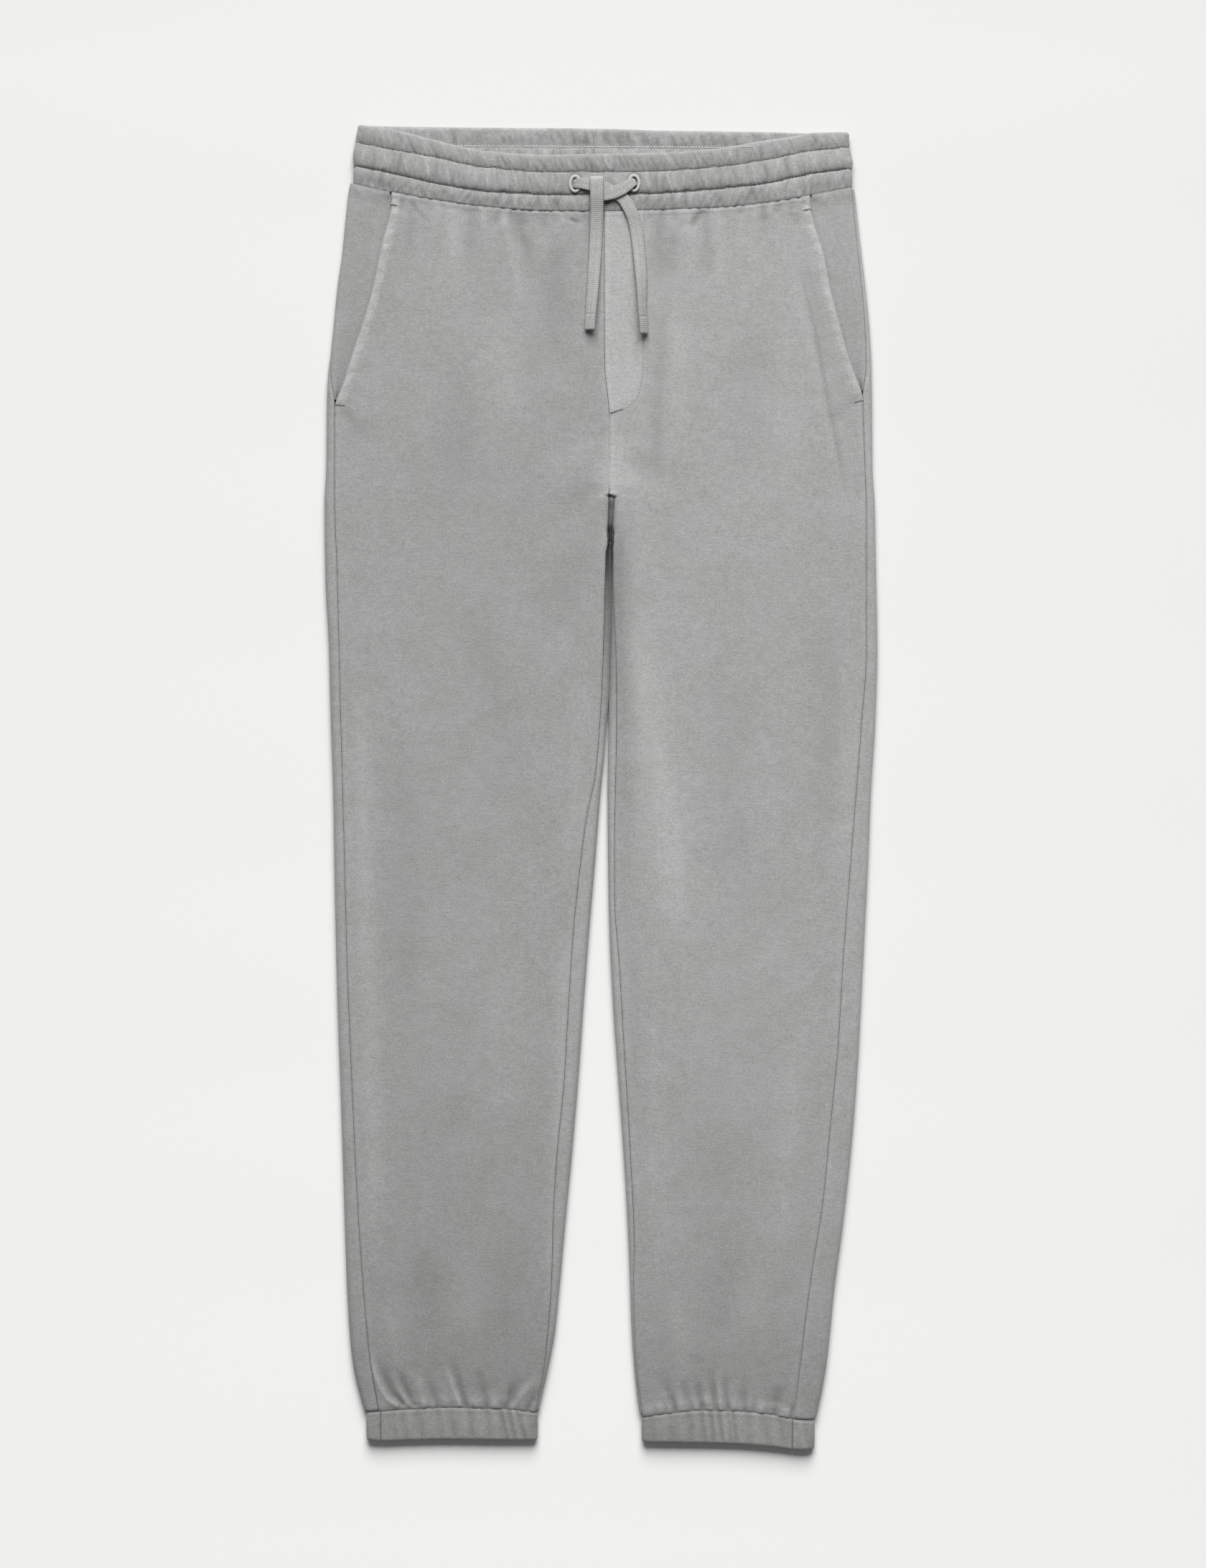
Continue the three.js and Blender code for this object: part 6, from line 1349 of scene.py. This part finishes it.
def smooth_route(rows, step):
    """A centripetal curve through the points, resampled evenly."""
    p = np.array([r[:3] for r in rows], float)
    w = np.array([r[3] for r in rows], float)
    w /= np.linalg.norm(w, axis=1)[:, None]
    width = np.array([r[4] for r in rows], float)
    pe = np.vstack([2 * p[0] - p[1], p, 2 * p[-1] - p[-2]])
    out, par = [], []
    for i in range(len(p) - 1):
        p0, p1, p2, p3 = pe[i:i + 4]
        t0 = 0.0
        t1 = t0 + np.linalg.norm(p1 - p0) ** 0.5
        t2 = t1 + np.linalg.norm(p2 - p1) ** 0.5
        t3 = t2 + np.linalg.norm(p3 - p2) ** 0.5
        for t in np.linspace(t1, t2, 24, endpoint=False):
            a1 = (t1 - t) / (t1 - t0) * p0 + (t - t0) / (t1 - t0) * p1
            a2 = (t2 - t) / (t2 - t1) * p1 + (t - t1) / (t2 - t1) * p2
            a3 = (t3 - t) / (t3 - t2) * p2 + (t - t2) / (t3 - t2) * p3
            b1 = (t2 - t) / (t2 - t0) * a1 + (t - t0) / (t2 - t0) * a2
            b2 = (t3 - t) / (t3 - t1) * a2 + (t - t1) / (t3 - t1) * a3
            out.append((t2 - t) / (t2 - t1) * b1 + (t - t1) / (t2 - t1) * b2)
            par.append(i + (t - t1) / (t2 - t1))
    out.append(p[-1])
    par.append(len(p) - 1)
    out, par = np.array(out), np.array(par)
    run = np.concatenate([[0], np.cumsum(np.linalg.norm(np.diff(out, axis=0), axis=1))])
    n = int(round(run[-1] / step)) + 1
    s = np.linspace(0, run[-1], n)
    line = np.stack([np.interp(s, run, out[:, k]) for k in range(3)], 1)
    pos = np.interp(s, run, par)
    across = np.stack([np.interp(pos, np.arange(len(w)), w[:, k]) for k in range(3)], 1)
    wide = np.interp(pos, np.arange(len(width)), width)
    t = np.gradient(line, axis=0)
    t /= np.linalg.norm(t, axis=1)[:, None]
    for _ in range(2):
        kernel = np.ones(7) / 7
        padded = np.pad(across, ((3, 3), (0, 0)), mode="edge")
        across = np.stack([np.convolve(padded[:, k], kernel, "valid") for k in range(3)], 1)
    across -= (across * t).sum(1)[:, None] * t
    across /= np.linalg.norm(across, axis=1)[:, None]
    up = np.cross(t, across)
    return s, line, t, across, up, wide


def flat_cord(name, rows, material, fold_back, seed):
    s, line, t, across, up, wide = smooth_route(rows, 0.42)
    total = s[-1]
    face, edge = 17, 3
    # the section: the upper face, a round edge, the under face, the other edge
    us = list(np.linspace(-0.86, 0.86, face))
    sec = [(u, 1.0, u) for u in us] + [(0.86 + 0.14 * math.sin(a), math.cos(a), 0.9) for a in (0.7, math.pi / 2, math.pi - 0.7)]
    sec += [(u, -1.0, u) for u in us[::-1]] + [(-0.86 - 0.14 * math.sin(a), -math.cos(a), -0.9) for a in (0.7, math.pi / 2, math.pi - 0.7)]
    sec = np.array(sec)
    n, m = len(s), len(sec)
    half_t = 0.95 * (10.0 / np.maximum(wide, 6)) ** 0.6
    doubled = smooth((s - (total - fold_back)) / 1.2)            # the end is turned back and stitched down
    half_t = half_t * (1 + 0.42 * doubled)
    stitch = np.exp(-((s - (total - fold_back)) / 0.55) ** 2)
    half_t = half_t * (1 - 0.28 * stitch)
    close = np.clip((total - s) / 1.1, 0, 1)
    tip = np.sqrt(np.maximum(0.02, 1 - (1 - close) ** 2))
    verts, tone, uv = np.zeros((n, m, 3)), np.zeros((n, m)), np.zeros((n, m, 2))
    v = s[:, None]
    u = sec[None, :, 2]
    col = (u + 1) / 2 * 8
    k = np.floor(col)
    f = col - k
    lean = np.where(k % 2 == 0, f, 1 - f)
    yarn = np.abs(np.sin(math.pi * (v / 1.55 + lean * 0.85))) ** 0.8 * np.abs(np.sin(math.pi * f)) ** 0.5
    yarn = np.where(np.abs(sec[None, :, 1]) > 0.99, yarn, np.abs(np.sin(math.pi * v / 1.55)) ** 0.8 * 0.7)
    wave = 0.12 * noise2(v, 0 * v, 6.0, seed) + 0.10 * noise2(v, 3 + 0 * v, 2.6, seed + 1)
    w_half = (wide / 2)[:, None] * (1 + 0.05 * wave) * (0.90 + 0.10 * tip[:, None])
    cup = 0.35 * (1 - sec[None, :, 0] ** 2)
    off = sec[None, :, 1] * half_t[:, None] * tip[:, None] * (1 - 0.30 * sec[None, :, 0] ** 4) + 0.17 * (yarn - 0.5) * np.sign(sec[None, :, 1])
    off = off + 0.25 * wave * sec[None, :, 0] + 0.0 * cup
    verts = line[:, None, :] + across[:, None, :] * (sec[None, :, 0] * w_half)[..., None] + up[:, None, :] * off[..., None]
    # the cord's tone: lighter yarns, darker at the stitch and in the doubled end's gaps, and painted shade on both
    # round edges
    tone = 0.72 + 0.30 * yarn - 0.16 * stitch[:, None] - 0.05 * doubled[:, None] * (yarn < 0.3) - 0.20 * smooth((np.abs(sec[None, :, 0]) - 0.72) / 0.28)
    uv[..., 0], uv[..., 1] = (u + 1) / 2 + 0 * v, v / 10.0 + 0 * u
    verts = verts.reshape(-1, 3) * MM
    idx = np.arange(n * m).reshape(n, m)
    nxt = np.roll(idx, -1, axis=1)
    faces = np.stack([idx[:-1], nxt[:-1], nxt[1:], idx[1:]], -1).reshape(-1, 4).tolist()
    faces.append(idx[0][::-1].tolist())
    faces.append(idx[-1].tolist())
    obj = new_object(name, verts, faces, material, tone=tone.ravel(), uv=uv.reshape(-1, 2), sharp=60)
    return obj, line, total, (line[-1], t[-1], across[-1], up[-1])


def fibres(name, ends, material):
    """Short soft fibres at the cords' cut ends."""
    rng = np.random.RandomState(97)
    verts, faces, tone = [], [], []
    for p, t, w, u in ends:
        for _ in range(46):
            a = p + w * rng.uniform(-4.6, 4.6) + u * rng.uniform(-0.9, 0.9) - t * 0.9
            d = t * rng.uniform(0.6, 1.5) + w * rng.uniform(-0.5, 0.5) + u * rng.uniform(-0.5, 0.5)
            bend = w * rng.uniform(-0.35, 0.35) + u * rng.uniform(-0.35, 0.35)
            base = len(verts)
            for j, q in enumerate((0, 0.35, 0.7, 1.0)):
                c = a + d * q * 1.3 + bend * q * q
                r = 0.13 * (1 - 0.7 * q)
                side = np.cross(d, u)
                side /= np.linalg.norm(side)
                other = np.cross(side, d / np.linalg.norm(d))
                for i in range(4):
                    g = math.pi / 2 * i
                    verts.append((c + side * r * math.cos(g) + other * r * math.sin(g)) * MM)
                    tone.append(0.95 + rng.uniform(-0.08, 0.08))
            for j in range(3):
                for i in range(4):
                    k = (i + 1) % 4
                    faces.append([base + 4 * j + i, base + 4 * j + k, base + 4 * j + 4 + k, base + 4 * j + 4 + i])
            faces.append([base + 3, base + 2, base + 1, base])
            faces.append([base + 12, base + 13, base + 14, base + 15])
    return new_object(name, np.array(verts), faces, material, tone=np.array(tone), sharp=0)


# ---------------------------------------------------------------- materials
class Graph:
    """Short calls for shader nodes."""

    def __init__(self, name):
        self.material = bpy.data.materials.new(name)
        self.material.use_nodes = True
        self.tree = self.material.node_tree
        self.tree.nodes.clear()

    def node(self, kind, **values):
        n = self.tree.nodes.new(kind)
        for k, v in values.items():
            setattr(n, k, v)
        return n

    def put(self, socket, value):
        if isinstance(value, bpy.types.NodeSocket):
            self.tree.links.new(value, socket)
        else:
            socket.default_value = value

    def math(self, op, a, b=0.0, c=0.0, clamp=False):
        n = self.node("ShaderNodeMath", operation=op, use_clamp=clamp)
        self.put(n.inputs[0], a)
        self.put(n.inputs[1], b)
        if len(n.inputs) > 2:
            self.put(n.inputs[2], c)
        return n.outputs[0]

    def noise(self, vector, scale, detail=2.0, rough=0.5, distort=0.0):
        n = self.node("ShaderNodeTexNoise")
        self.put(n.inputs["Vector"], vector)
        n.inputs["Scale"].default_value = scale
        n.inputs["Detail"].default_value = detail
        n.inputs["Roughness"].default_value = rough
        n.inputs["Distortion"].default_value = distort
        return n.outputs["Fac"]

    def centred(self, value, gain):
        """Turns a 0..1 noise into a number round 0 with about this swing."""
        return self.math("MULTIPLY", self.math("SUBTRACT", value, 0.5), gain)

    def stretched(self, vector, scale, rotation=(0, 0, 0)):
        n = self.node("ShaderNodeMapping")
        self.put(n.inputs["Vector"], vector)
        n.inputs["Scale"].default_value = scale
        n.inputs["Rotation"].default_value = rotation
        return n.outputs[0]


def cloth_material(name, colour, cloud=0.18, mottle=0.20, nap=0.66, slub=0.18, sheen=0.22, bump=0.75, seed=0.0):
    """Garment-dyed brushed fleece: cloudy dye, heathered streaks along the courses, a short uneven nap."""
    g = Graph(name)
    tc = g.node("ShaderNodeTexCoord")
    moved = g.node("ShaderNodeVectorMath", operation="ADD")
    g.put(moved.inputs[0], tc.outputs["Object"])
    moved.inputs[1].default_value = (seed, 0.37 * seed, 0.11 * seed)
    p = moved.outputs[0]
    clouds = g.noise(p, 26.0, 3.0, 0.55, 0.6)
    patches = g.noise(p, 150.0, 2.0, 0.5)
    fine = g.noise(p, 620.0, 3.0, 0.62)
    tiny = g.noise(p, 1700.0, 2.0, 0.6)
    course = g.noise(g.stretched(p, (170.0, 920.0, 170.0)), 1.0, 2.0, 0.55)
    wale = g.noise(g.stretched(p, (880.0, 150.0, 150.0)), 1.0, 2.0, 0.55)
    fibre = g.noise(g.stretched(p, (2600.0, 620.0, 600.0), (0, 0, 0.6)), 1.0, 1.0, 0.5)
    total = g.math("ADD", g.centred(clouds, cloud), g.centred(patches, mottle))
    total = g.math("ADD", total, g.centred(fine, nap))
    total = g.math("ADD", total, g.centred(tiny, nap * 0.7))
    total = g.math("ADD", total, g.centred(course, slub))
    total = g.math("ADD", total, g.centred(wale, slub * 0.45))
    total = g.math("ADD", total, g.centred(fibre, nap * 0.35))
    attr = g.node("ShaderNodeAttribute", attribute_name="tone", attribute_type="GEOMETRY")
    factor = g.math("MULTIPLY", g.math("ADD", total, 1.0), attr.outputs["Fac"])
    warm = g.node("ShaderNodeMix", data_type="RGBA")
    g.put(warm.inputs["Factor"], clouds)
    warm.inputs["A"].default_value = (colour[0] * 1.012, colour[1] * 1.0, colour[2] * 0.985, 1)
    warm.inputs["B"].default_value = (colour[0] * 0.988, colour[1] * 1.0, colour[2] * 1.012, 1)
    scale = g.node("ShaderNodeVectorMath", operation="SCALE")
    g.put(scale.inputs[0], warm.outputs["Result"])
    g.put(scale.inputs["Scale"], factor)
    bsdf = g.node("ShaderNodeBsdfPrincipled")
    g.put(bsdf.inputs["Base Color"], scale.outputs[0])
    g.put(bsdf.inputs["Roughness"], g.math("ADD", g.math("MULTIPLY", fine, 0.16), 0.82))
    bsdf.inputs["Specular IOR Level"].default_value = 0.18
    bsdf.inputs["Sheen Weight"].default_value = sheen
    bsdf.inputs["Sheen Roughness"].default_value = 0.55
    bsdf.inputs["Sheen Tint"].default_value = (0.95, 0.95, 0.94, 1)
    height = g.math("ADD", g.math("MULTIPLY", fine, 0.55), g.math("MULTIPLY", tiny, 0.35))
    height = g.math("ADD", height, g.math("MULTIPLY", course, 0.45))
    height = g.math("ADD", height, g.math("MULTIPLY", fibre, 0.20))
    b = g.node("ShaderNodeBump")
    b.inputs["Strength"].default_value = bump
    b.inputs["Distance"].default_value = 0.00035
    g.put(b.inputs["Height"], height)
    g.put(bsdf.inputs["Normal"], b.outputs[0])
    out = g.node("ShaderNodeOutputMaterial")
    g.tree.links.new(bsdf.outputs[0], out.inputs["Surface"])
    return g.material


def braid_material(name, colour):
    """Flat cotton braid: eight columns of yarn that lean in turn, drawn along the cord."""
    g = Graph(name)
    uv = g.node("ShaderNodeUVMap", uv_map="UVMap")
    sep = g.node("ShaderNodeSeparateXYZ")
    g.put(sep.inputs[0], uv.outputs[0])
    col = g.math("MULTIPLY", sep.outputs["X"], 8.0)
    f = g.math("FRACT", col)
    even = g.math("MODULO", g.math("FLOOR", col), 2.0)
    lean = g.math("ADD", g.math("MULTIPLY", f, g.math("SUBTRACT", 1.0, even)), g.math("MULTIPLY", g.math("SUBTRACT", 1.0, f), even))
    phase = g.math("ADD", g.math("MULTIPLY", sep.outputs["Y"], 10.0 / 1.55), g.math("MULTIPLY", lean, 0.85))
    yarn = g.math("POWER", g.math("ABSOLUTE", g.math("SINE", g.math("MULTIPLY", phase, math.pi))), 0.8)
    border = g.math("POWER", g.math("ABSOLUTE", g.math("SINE", g.math("MULTIPLY", f, math.pi))), 0.45)
    braid = g.math("MULTIPLY", yarn, border)
    tc = g.node("ShaderNodeTexCoord")
    fibre = g.noise(tc.outputs["Object"], 2600.0, 2.0, 0.6)
    cloud = g.noise(tc.outputs["Object"], 120.0, 2.0, 0.5)
    attr = g.node("ShaderNodeAttribute", attribute_name="tone", attribute_type="GEOMETRY")
    shade = g.math("ADD", g.math("MULTIPLY", braid, 0.50), 0.66)
    shade = g.math("ADD", shade, g.centred(fibre, 0.34))
    shade = g.math("ADD", shade, g.centred(g.noise(tc.outputs["Object"], 430.0, 2.0, 0.55), 0.42))
    shade = g.math("ADD", shade, g.centred(cloud, 0.16))
    factor = g.math("MULTIPLY", shade, attr.outputs["Fac"])
    scale = g.node("ShaderNodeVectorMath", operation="SCALE")
    scale.inputs[0].default_value = colour[:3]
    g.put(scale.inputs["Scale"], factor)
    bsdf = g.node("ShaderNodeBsdfPrincipled")
    g.put(bsdf.inputs["Base Color"], scale.outputs[0])
    g.put(bsdf.inputs["Roughness"], g.math("ADD", g.math("MULTIPLY", fibre, 0.2), 0.72))
    bsdf.inputs["Specular IOR Level"].default_value = 0.25
    bsdf.inputs["Sheen Weight"].default_value = 0.15
    bsdf.inputs["Sheen Roughness"].default_value = 0.5
    b = g.node("ShaderNodeBump")
    b.inputs["Strength"].default_value = 0.8
    b.inputs["Distance"].default_value = 0.0003
    g.put(b.inputs["Height"], g.math("ADD", braid, g.math("MULTIPLY", fibre, 0.35)))
    g.put(bsdf.inputs["Normal"], b.outputs[0])
    out = g.node("ShaderNodeOutputMaterial")
    g.tree.links.new(bsdf.outputs[0], out.inputs["Surface"])
    return g.material


def thread_material(name, colour, rough=0.6):
    """Spun thread: fine twist, slightly smoother than the cloth."""
    g = Graph(name)
    tc = g.node("ShaderNodeTexCoord")
    twist = g.noise(g.stretched(tc.outputs["Object"], (3000.0, 3000.0, 1200.0), (0.3, 0.2, 0.7)), 1.0, 2.0, 0.5)
    attr = g.node("ShaderNodeAttribute", attribute_name="tone", attribute_type="GEOMETRY")
    factor = g.math("MULTIPLY", g.math("ADD", g.centred(twist, 0.35), 1.0), attr.outputs["Fac"])
    scale = g.node("ShaderNodeVectorMath", operation="SCALE")
    scale.inputs[0].default_value = colour[:3]
    g.put(scale.inputs["Scale"], factor)
    bsdf = g.node("ShaderNodeBsdfPrincipled")
    g.put(bsdf.inputs["Base Color"], scale.outputs[0])
    g.put(bsdf.inputs["Roughness"], g.math("ADD", g.math("MULTIPLY", twist, 0.2), rough - 0.1))
    bsdf.inputs["Specular IOR Level"].default_value = 0.3
    b = g.node("ShaderNodeBump")
    b.inputs["Strength"].default_value = 0.5
    b.inputs["Distance"].default_value = 0.0001
    g.put(b.inputs["Height"], twist)
    g.put(bsdf.inputs["Normal"], b.outputs[0])
    out = g.node("ShaderNodeOutputMaterial")
    g.tree.links.new(bsdf.outputs[0], out.inputs["Surface"])
    return g.material


# y in metres, colour of the sweep
FLOOR_ROWS = [
    (-1.0, 0.960), (-0.59, 0.893), (-0.394, 0.833), (-0.226, 0.785), (-0.058, 0.739), (0.11, 0.696), (0.278, 0.655), (0.446, 0.617),
    (0.598, 0.586), (1.0, 0.515),
]


def floor_material():
    """A pale sweep. Its colour varies slowly along it, so that it reads evenly under the one-sided light."""
    g = Graph("floor")
    tc = g.node("ShaderNodeTexCoord")
    sep = g.node("ShaderNodeSeparateXYZ")
    g.put(sep.inputs[0], tc.outputs["Object"])
    y = g.node("ShaderNodeMapRange")
    g.put(y.inputs["Value"], sep.outputs["Y"])
    y.inputs["From Min"].default_value, y.inputs["From Max"].default_value = -1.0, 1.0
    ramp = g.node("ShaderNodeValToRGB")
    g.put(ramp.inputs["Fac"], y.outputs["Result"])
    ramp.color_ramp.interpolation = "CARDINAL"
    ends = ramp.color_ramp.elements
    ends[0].position, ends[0].color = 0.0, (FLOOR_ROWS[0][1],) * 3 + (1,)
    ends[1].position, ends[1].color = 1.0, (FLOOR_ROWS[-1][1],) * 3 + (1,)
    for row in FLOOR_ROWS[1:-1]:
        ramp.color_ramp.elements.new((row[0] + 1) / 2).color = (row[1],) * 3 + (1,)
    across = g.math("ADD", g.math("MULTIPLY", sep.outputs["X"], -0.01), 1.0)
    scale = g.node("ShaderNodeVectorMath", operation="SCALE")
    g.put(scale.inputs[0], ramp.outputs["Color"])
    g.put(scale.inputs["Scale"], across)
    bsdf = g.node("ShaderNodeBsdfPrincipled")
    g.put(bsdf.inputs["Base Color"], scale.outputs[0])
    bsdf.inputs["Roughness"].default_value = 1.0
    bsdf.inputs["Specular IOR Level"].default_value = 0.0
    out = g.node("ShaderNodeOutputMaterial")
    g.tree.links.new(bsdf.outputs[0], out.inputs["Surface"])
    return g.material



# ---------------------------------------------------------------- the pieces
fleece = cloth_material("brushed_fleece", (0.280, 0.281, 0.2805))
pocket_fleece = cloth_material("brushed_fleece_pocket", (0.278, 0.279, 0.2785), seed=3.1)
band_fleece = cloth_material("brushed_fleece_waistband", (0.238, 0.239, 0.238), cloud=0.20, seed=5.3)
cuff_fleece = cloth_material("brushed_fleece_cuff", (0.256, 0.2555, 0.2525), cloud=0.20, seed=7.7)
braid = braid_material("cotton_braid", (0.42, 0.419, 0.411))
satin = thread_material("satin_thread", (0.405, 0.403, 0.396))
sewing = thread_material("sewing_thread", (0.34, 0.339, 0.334))
# the thread in the waistband's rows is much darker than the other thread: partly its own colour, partly painted shade
# of the grooves it lies in
row_thread_painted_shade = thread_material("sewing_thread_in_rows_painted_shade", (0.14, 0.14, 0.138), rough=0.75)

areas, pieces = {}, {}


def place(key, made, node):
    obj, area = made
    areas[key] = area
    pieces[key] = obj
    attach(obj, "root")
    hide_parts(node)
    return obj


for side in (RIGHT, LEFT):
    w = WORD[side]
    b = place(f"back_{w}", back(side, fleece), f"back_{w}")
    place(f"facing_{w}", facing(side, pocket_fleece), f"pocket_facing_{w}")
    f = place(f"front_{w}", front(side, fleece), f"front_{w}")
    place(f"cuff_{w}", cuff(side, cuff_fleece), f"cuff_{w}")
place("waistband", waistband(band_fleece), "waistband")

top_tree = tree_of([pieces["front_right"], pieces["front_left"], pieces["waistband"], pieces["cuff_right"], pieces["cuff_left"],
                    pieces["facing_right"], pieces["facing_left"], pieces["back_right"], pieces["back_left"]])
for side in (RIGHT, LEFT):
    o = eyelet(side, top_tree, satin)
    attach(o, "root")
    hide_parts(f"eyelet_{WORD[side]}")

stitches, dark = [], []
for side in (RIGHT, LEFT):
    ys = np.arange(float(band_seam(side * 166)) - 2, POCKET_END[side] + 2, -2.0)
    line = [(float(pocket_x[side](y)) - side * 7.0, y) for y in ys]
    stitches += along_line(line, 2.9, 0.66, top_tree, 0.22, 0.08, 1.04, 101 + side)
stitches += along_line(FLY_LINE, 2.6, 0.66, top_tree, 0.24, 0.10, 1.0, 104)
for k, (a, b) in enumerate([((552.5, 285.5), (543.5, 283.5)), ((467.0, 563.0), (480.5, 564.5)), ((1119.0, 292.5), (1131.0, 290.0)), ((1190.0, 560.0), (1203.5, 557.0))]):
    stitches += bartack(at(*a), at(*b), 1.7, top_tree, (0.80, 0.62)[k % 2], 110 + k)
stitches += bartack((7.2, 292.3), (16.8, 295.6), 0.9, top_tree, 0.55, 118, count=19)
near_eyelets = [(EYELETS[s][0], EYELETS[s][1], 7.5) for s in EYELETS]
for row, fn in enumerate((band_row2, band_row1)):
    line = [(x, float(fn(x))) for x in np.arange(-188, 190, 1.4)]
    dark += along_line(line, 2.35, 0.5, top_tree, 0.24, 0.05, 1.0, 120 + row, lift=0.10, zigzag=0.58)
inner_row = [(x, float(back_seam_y(x)) + 31.2) for x in np.arange(-112, 118, 1.4)]
stitches += along_line(inner_row, 2.35, 0.5, top_tree, 0.46, 0.30, 2.0, 130, lift=0.25)
for name, rows, mat in (("topstitching", stitches, sewing), ("waistband_stitch_rows", dark, row_thread_painted_shade)):
    o = thread(name, rows, mat)
    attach(o, "root")

cord_a, line_a, len_a, end_a = flat_cord("drawcord_from_right_eyelet", CORD_A, braid, 13.5, 140)
cord_b, line_b, len_b, end_b = flat_cord("drawcord_from_left_eyelet", CORD_B, braid, 12.5, 150)
tips = fibres("drawcord_end_fibres", [end_a, end_b], braid_material("cotton_braid_fibres", (0.44, 0.438, 0.43)))
for o in (cord_a, cord_b, tips):
    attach(o, "root")
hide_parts("drawcord_end_left", "drawcord_knot")
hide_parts("drawcord_end_right", "drawcord_knot")

# ---------------------------------------------------------------- floor, light and camera
mesh = bpy.data.meshes.new("floor")
mesh.from_pydata([(-4, -4, -0.0004), (4, -4, -0.0004), (4, 4, -0.0004), (-4, 4, -0.0004)], [], [(0, 1, 2, 3)])
floor = bpy.data.objects.new("floor", mesh)
mesh.materials.append(floor_material())
bpy.context.scene.collection.objects.link(floor)

scene = bpy.context.scene
scene.view_settings.view_transform = "Standard"
scene.view_settings.look = "None"
world = bpy.data.worlds.new("studio")
scene.world = world
world.use_nodes = True
world.node_tree.nodes["Background"].inputs["Color"].default_value = (1.0, 0.995, 0.985, 1)
world.node_tree.nodes["Background"].inputs["Strength"].default_value = 0.150


def area_light(name, where, aim, size, power, colour=(1, 1, 1)):
    data = bpy.data.lights.new(name, "AREA")
    data.shape, data.size, data.size_y, data.energy, data.color = "RECTANGLE", size[0], size[1], power, colour
    obj = bpy.data.objects.new(name, data)
    obj.location = where
    obj.rotation_euler = (Vector(aim) - Vector(where)).to_track_quat("-Z", "Y").to_euler()
    scene.collection.objects.link(obj)
    return obj


area_light("key", (0.05, 3.6, 3.1), (0.0, 0.0, 0.0), (3.2, 3.5), 420.0, (1.0, 0.998, 0.99))

camera = bpy.data.objects.new("camera", bpy.data.cameras.new("camera"))
camera.data.sensor_width, camera.data.sensor_fit = 36.0, "AUTO"
camera.data.lens = 36.0 * 3.0 / 1.22304
camera.data.clip_end = 30.0
camera.location = (0.00168, 0.00297, 3.009)
scene.collection.objects.link(camera)
scene.camera = camera
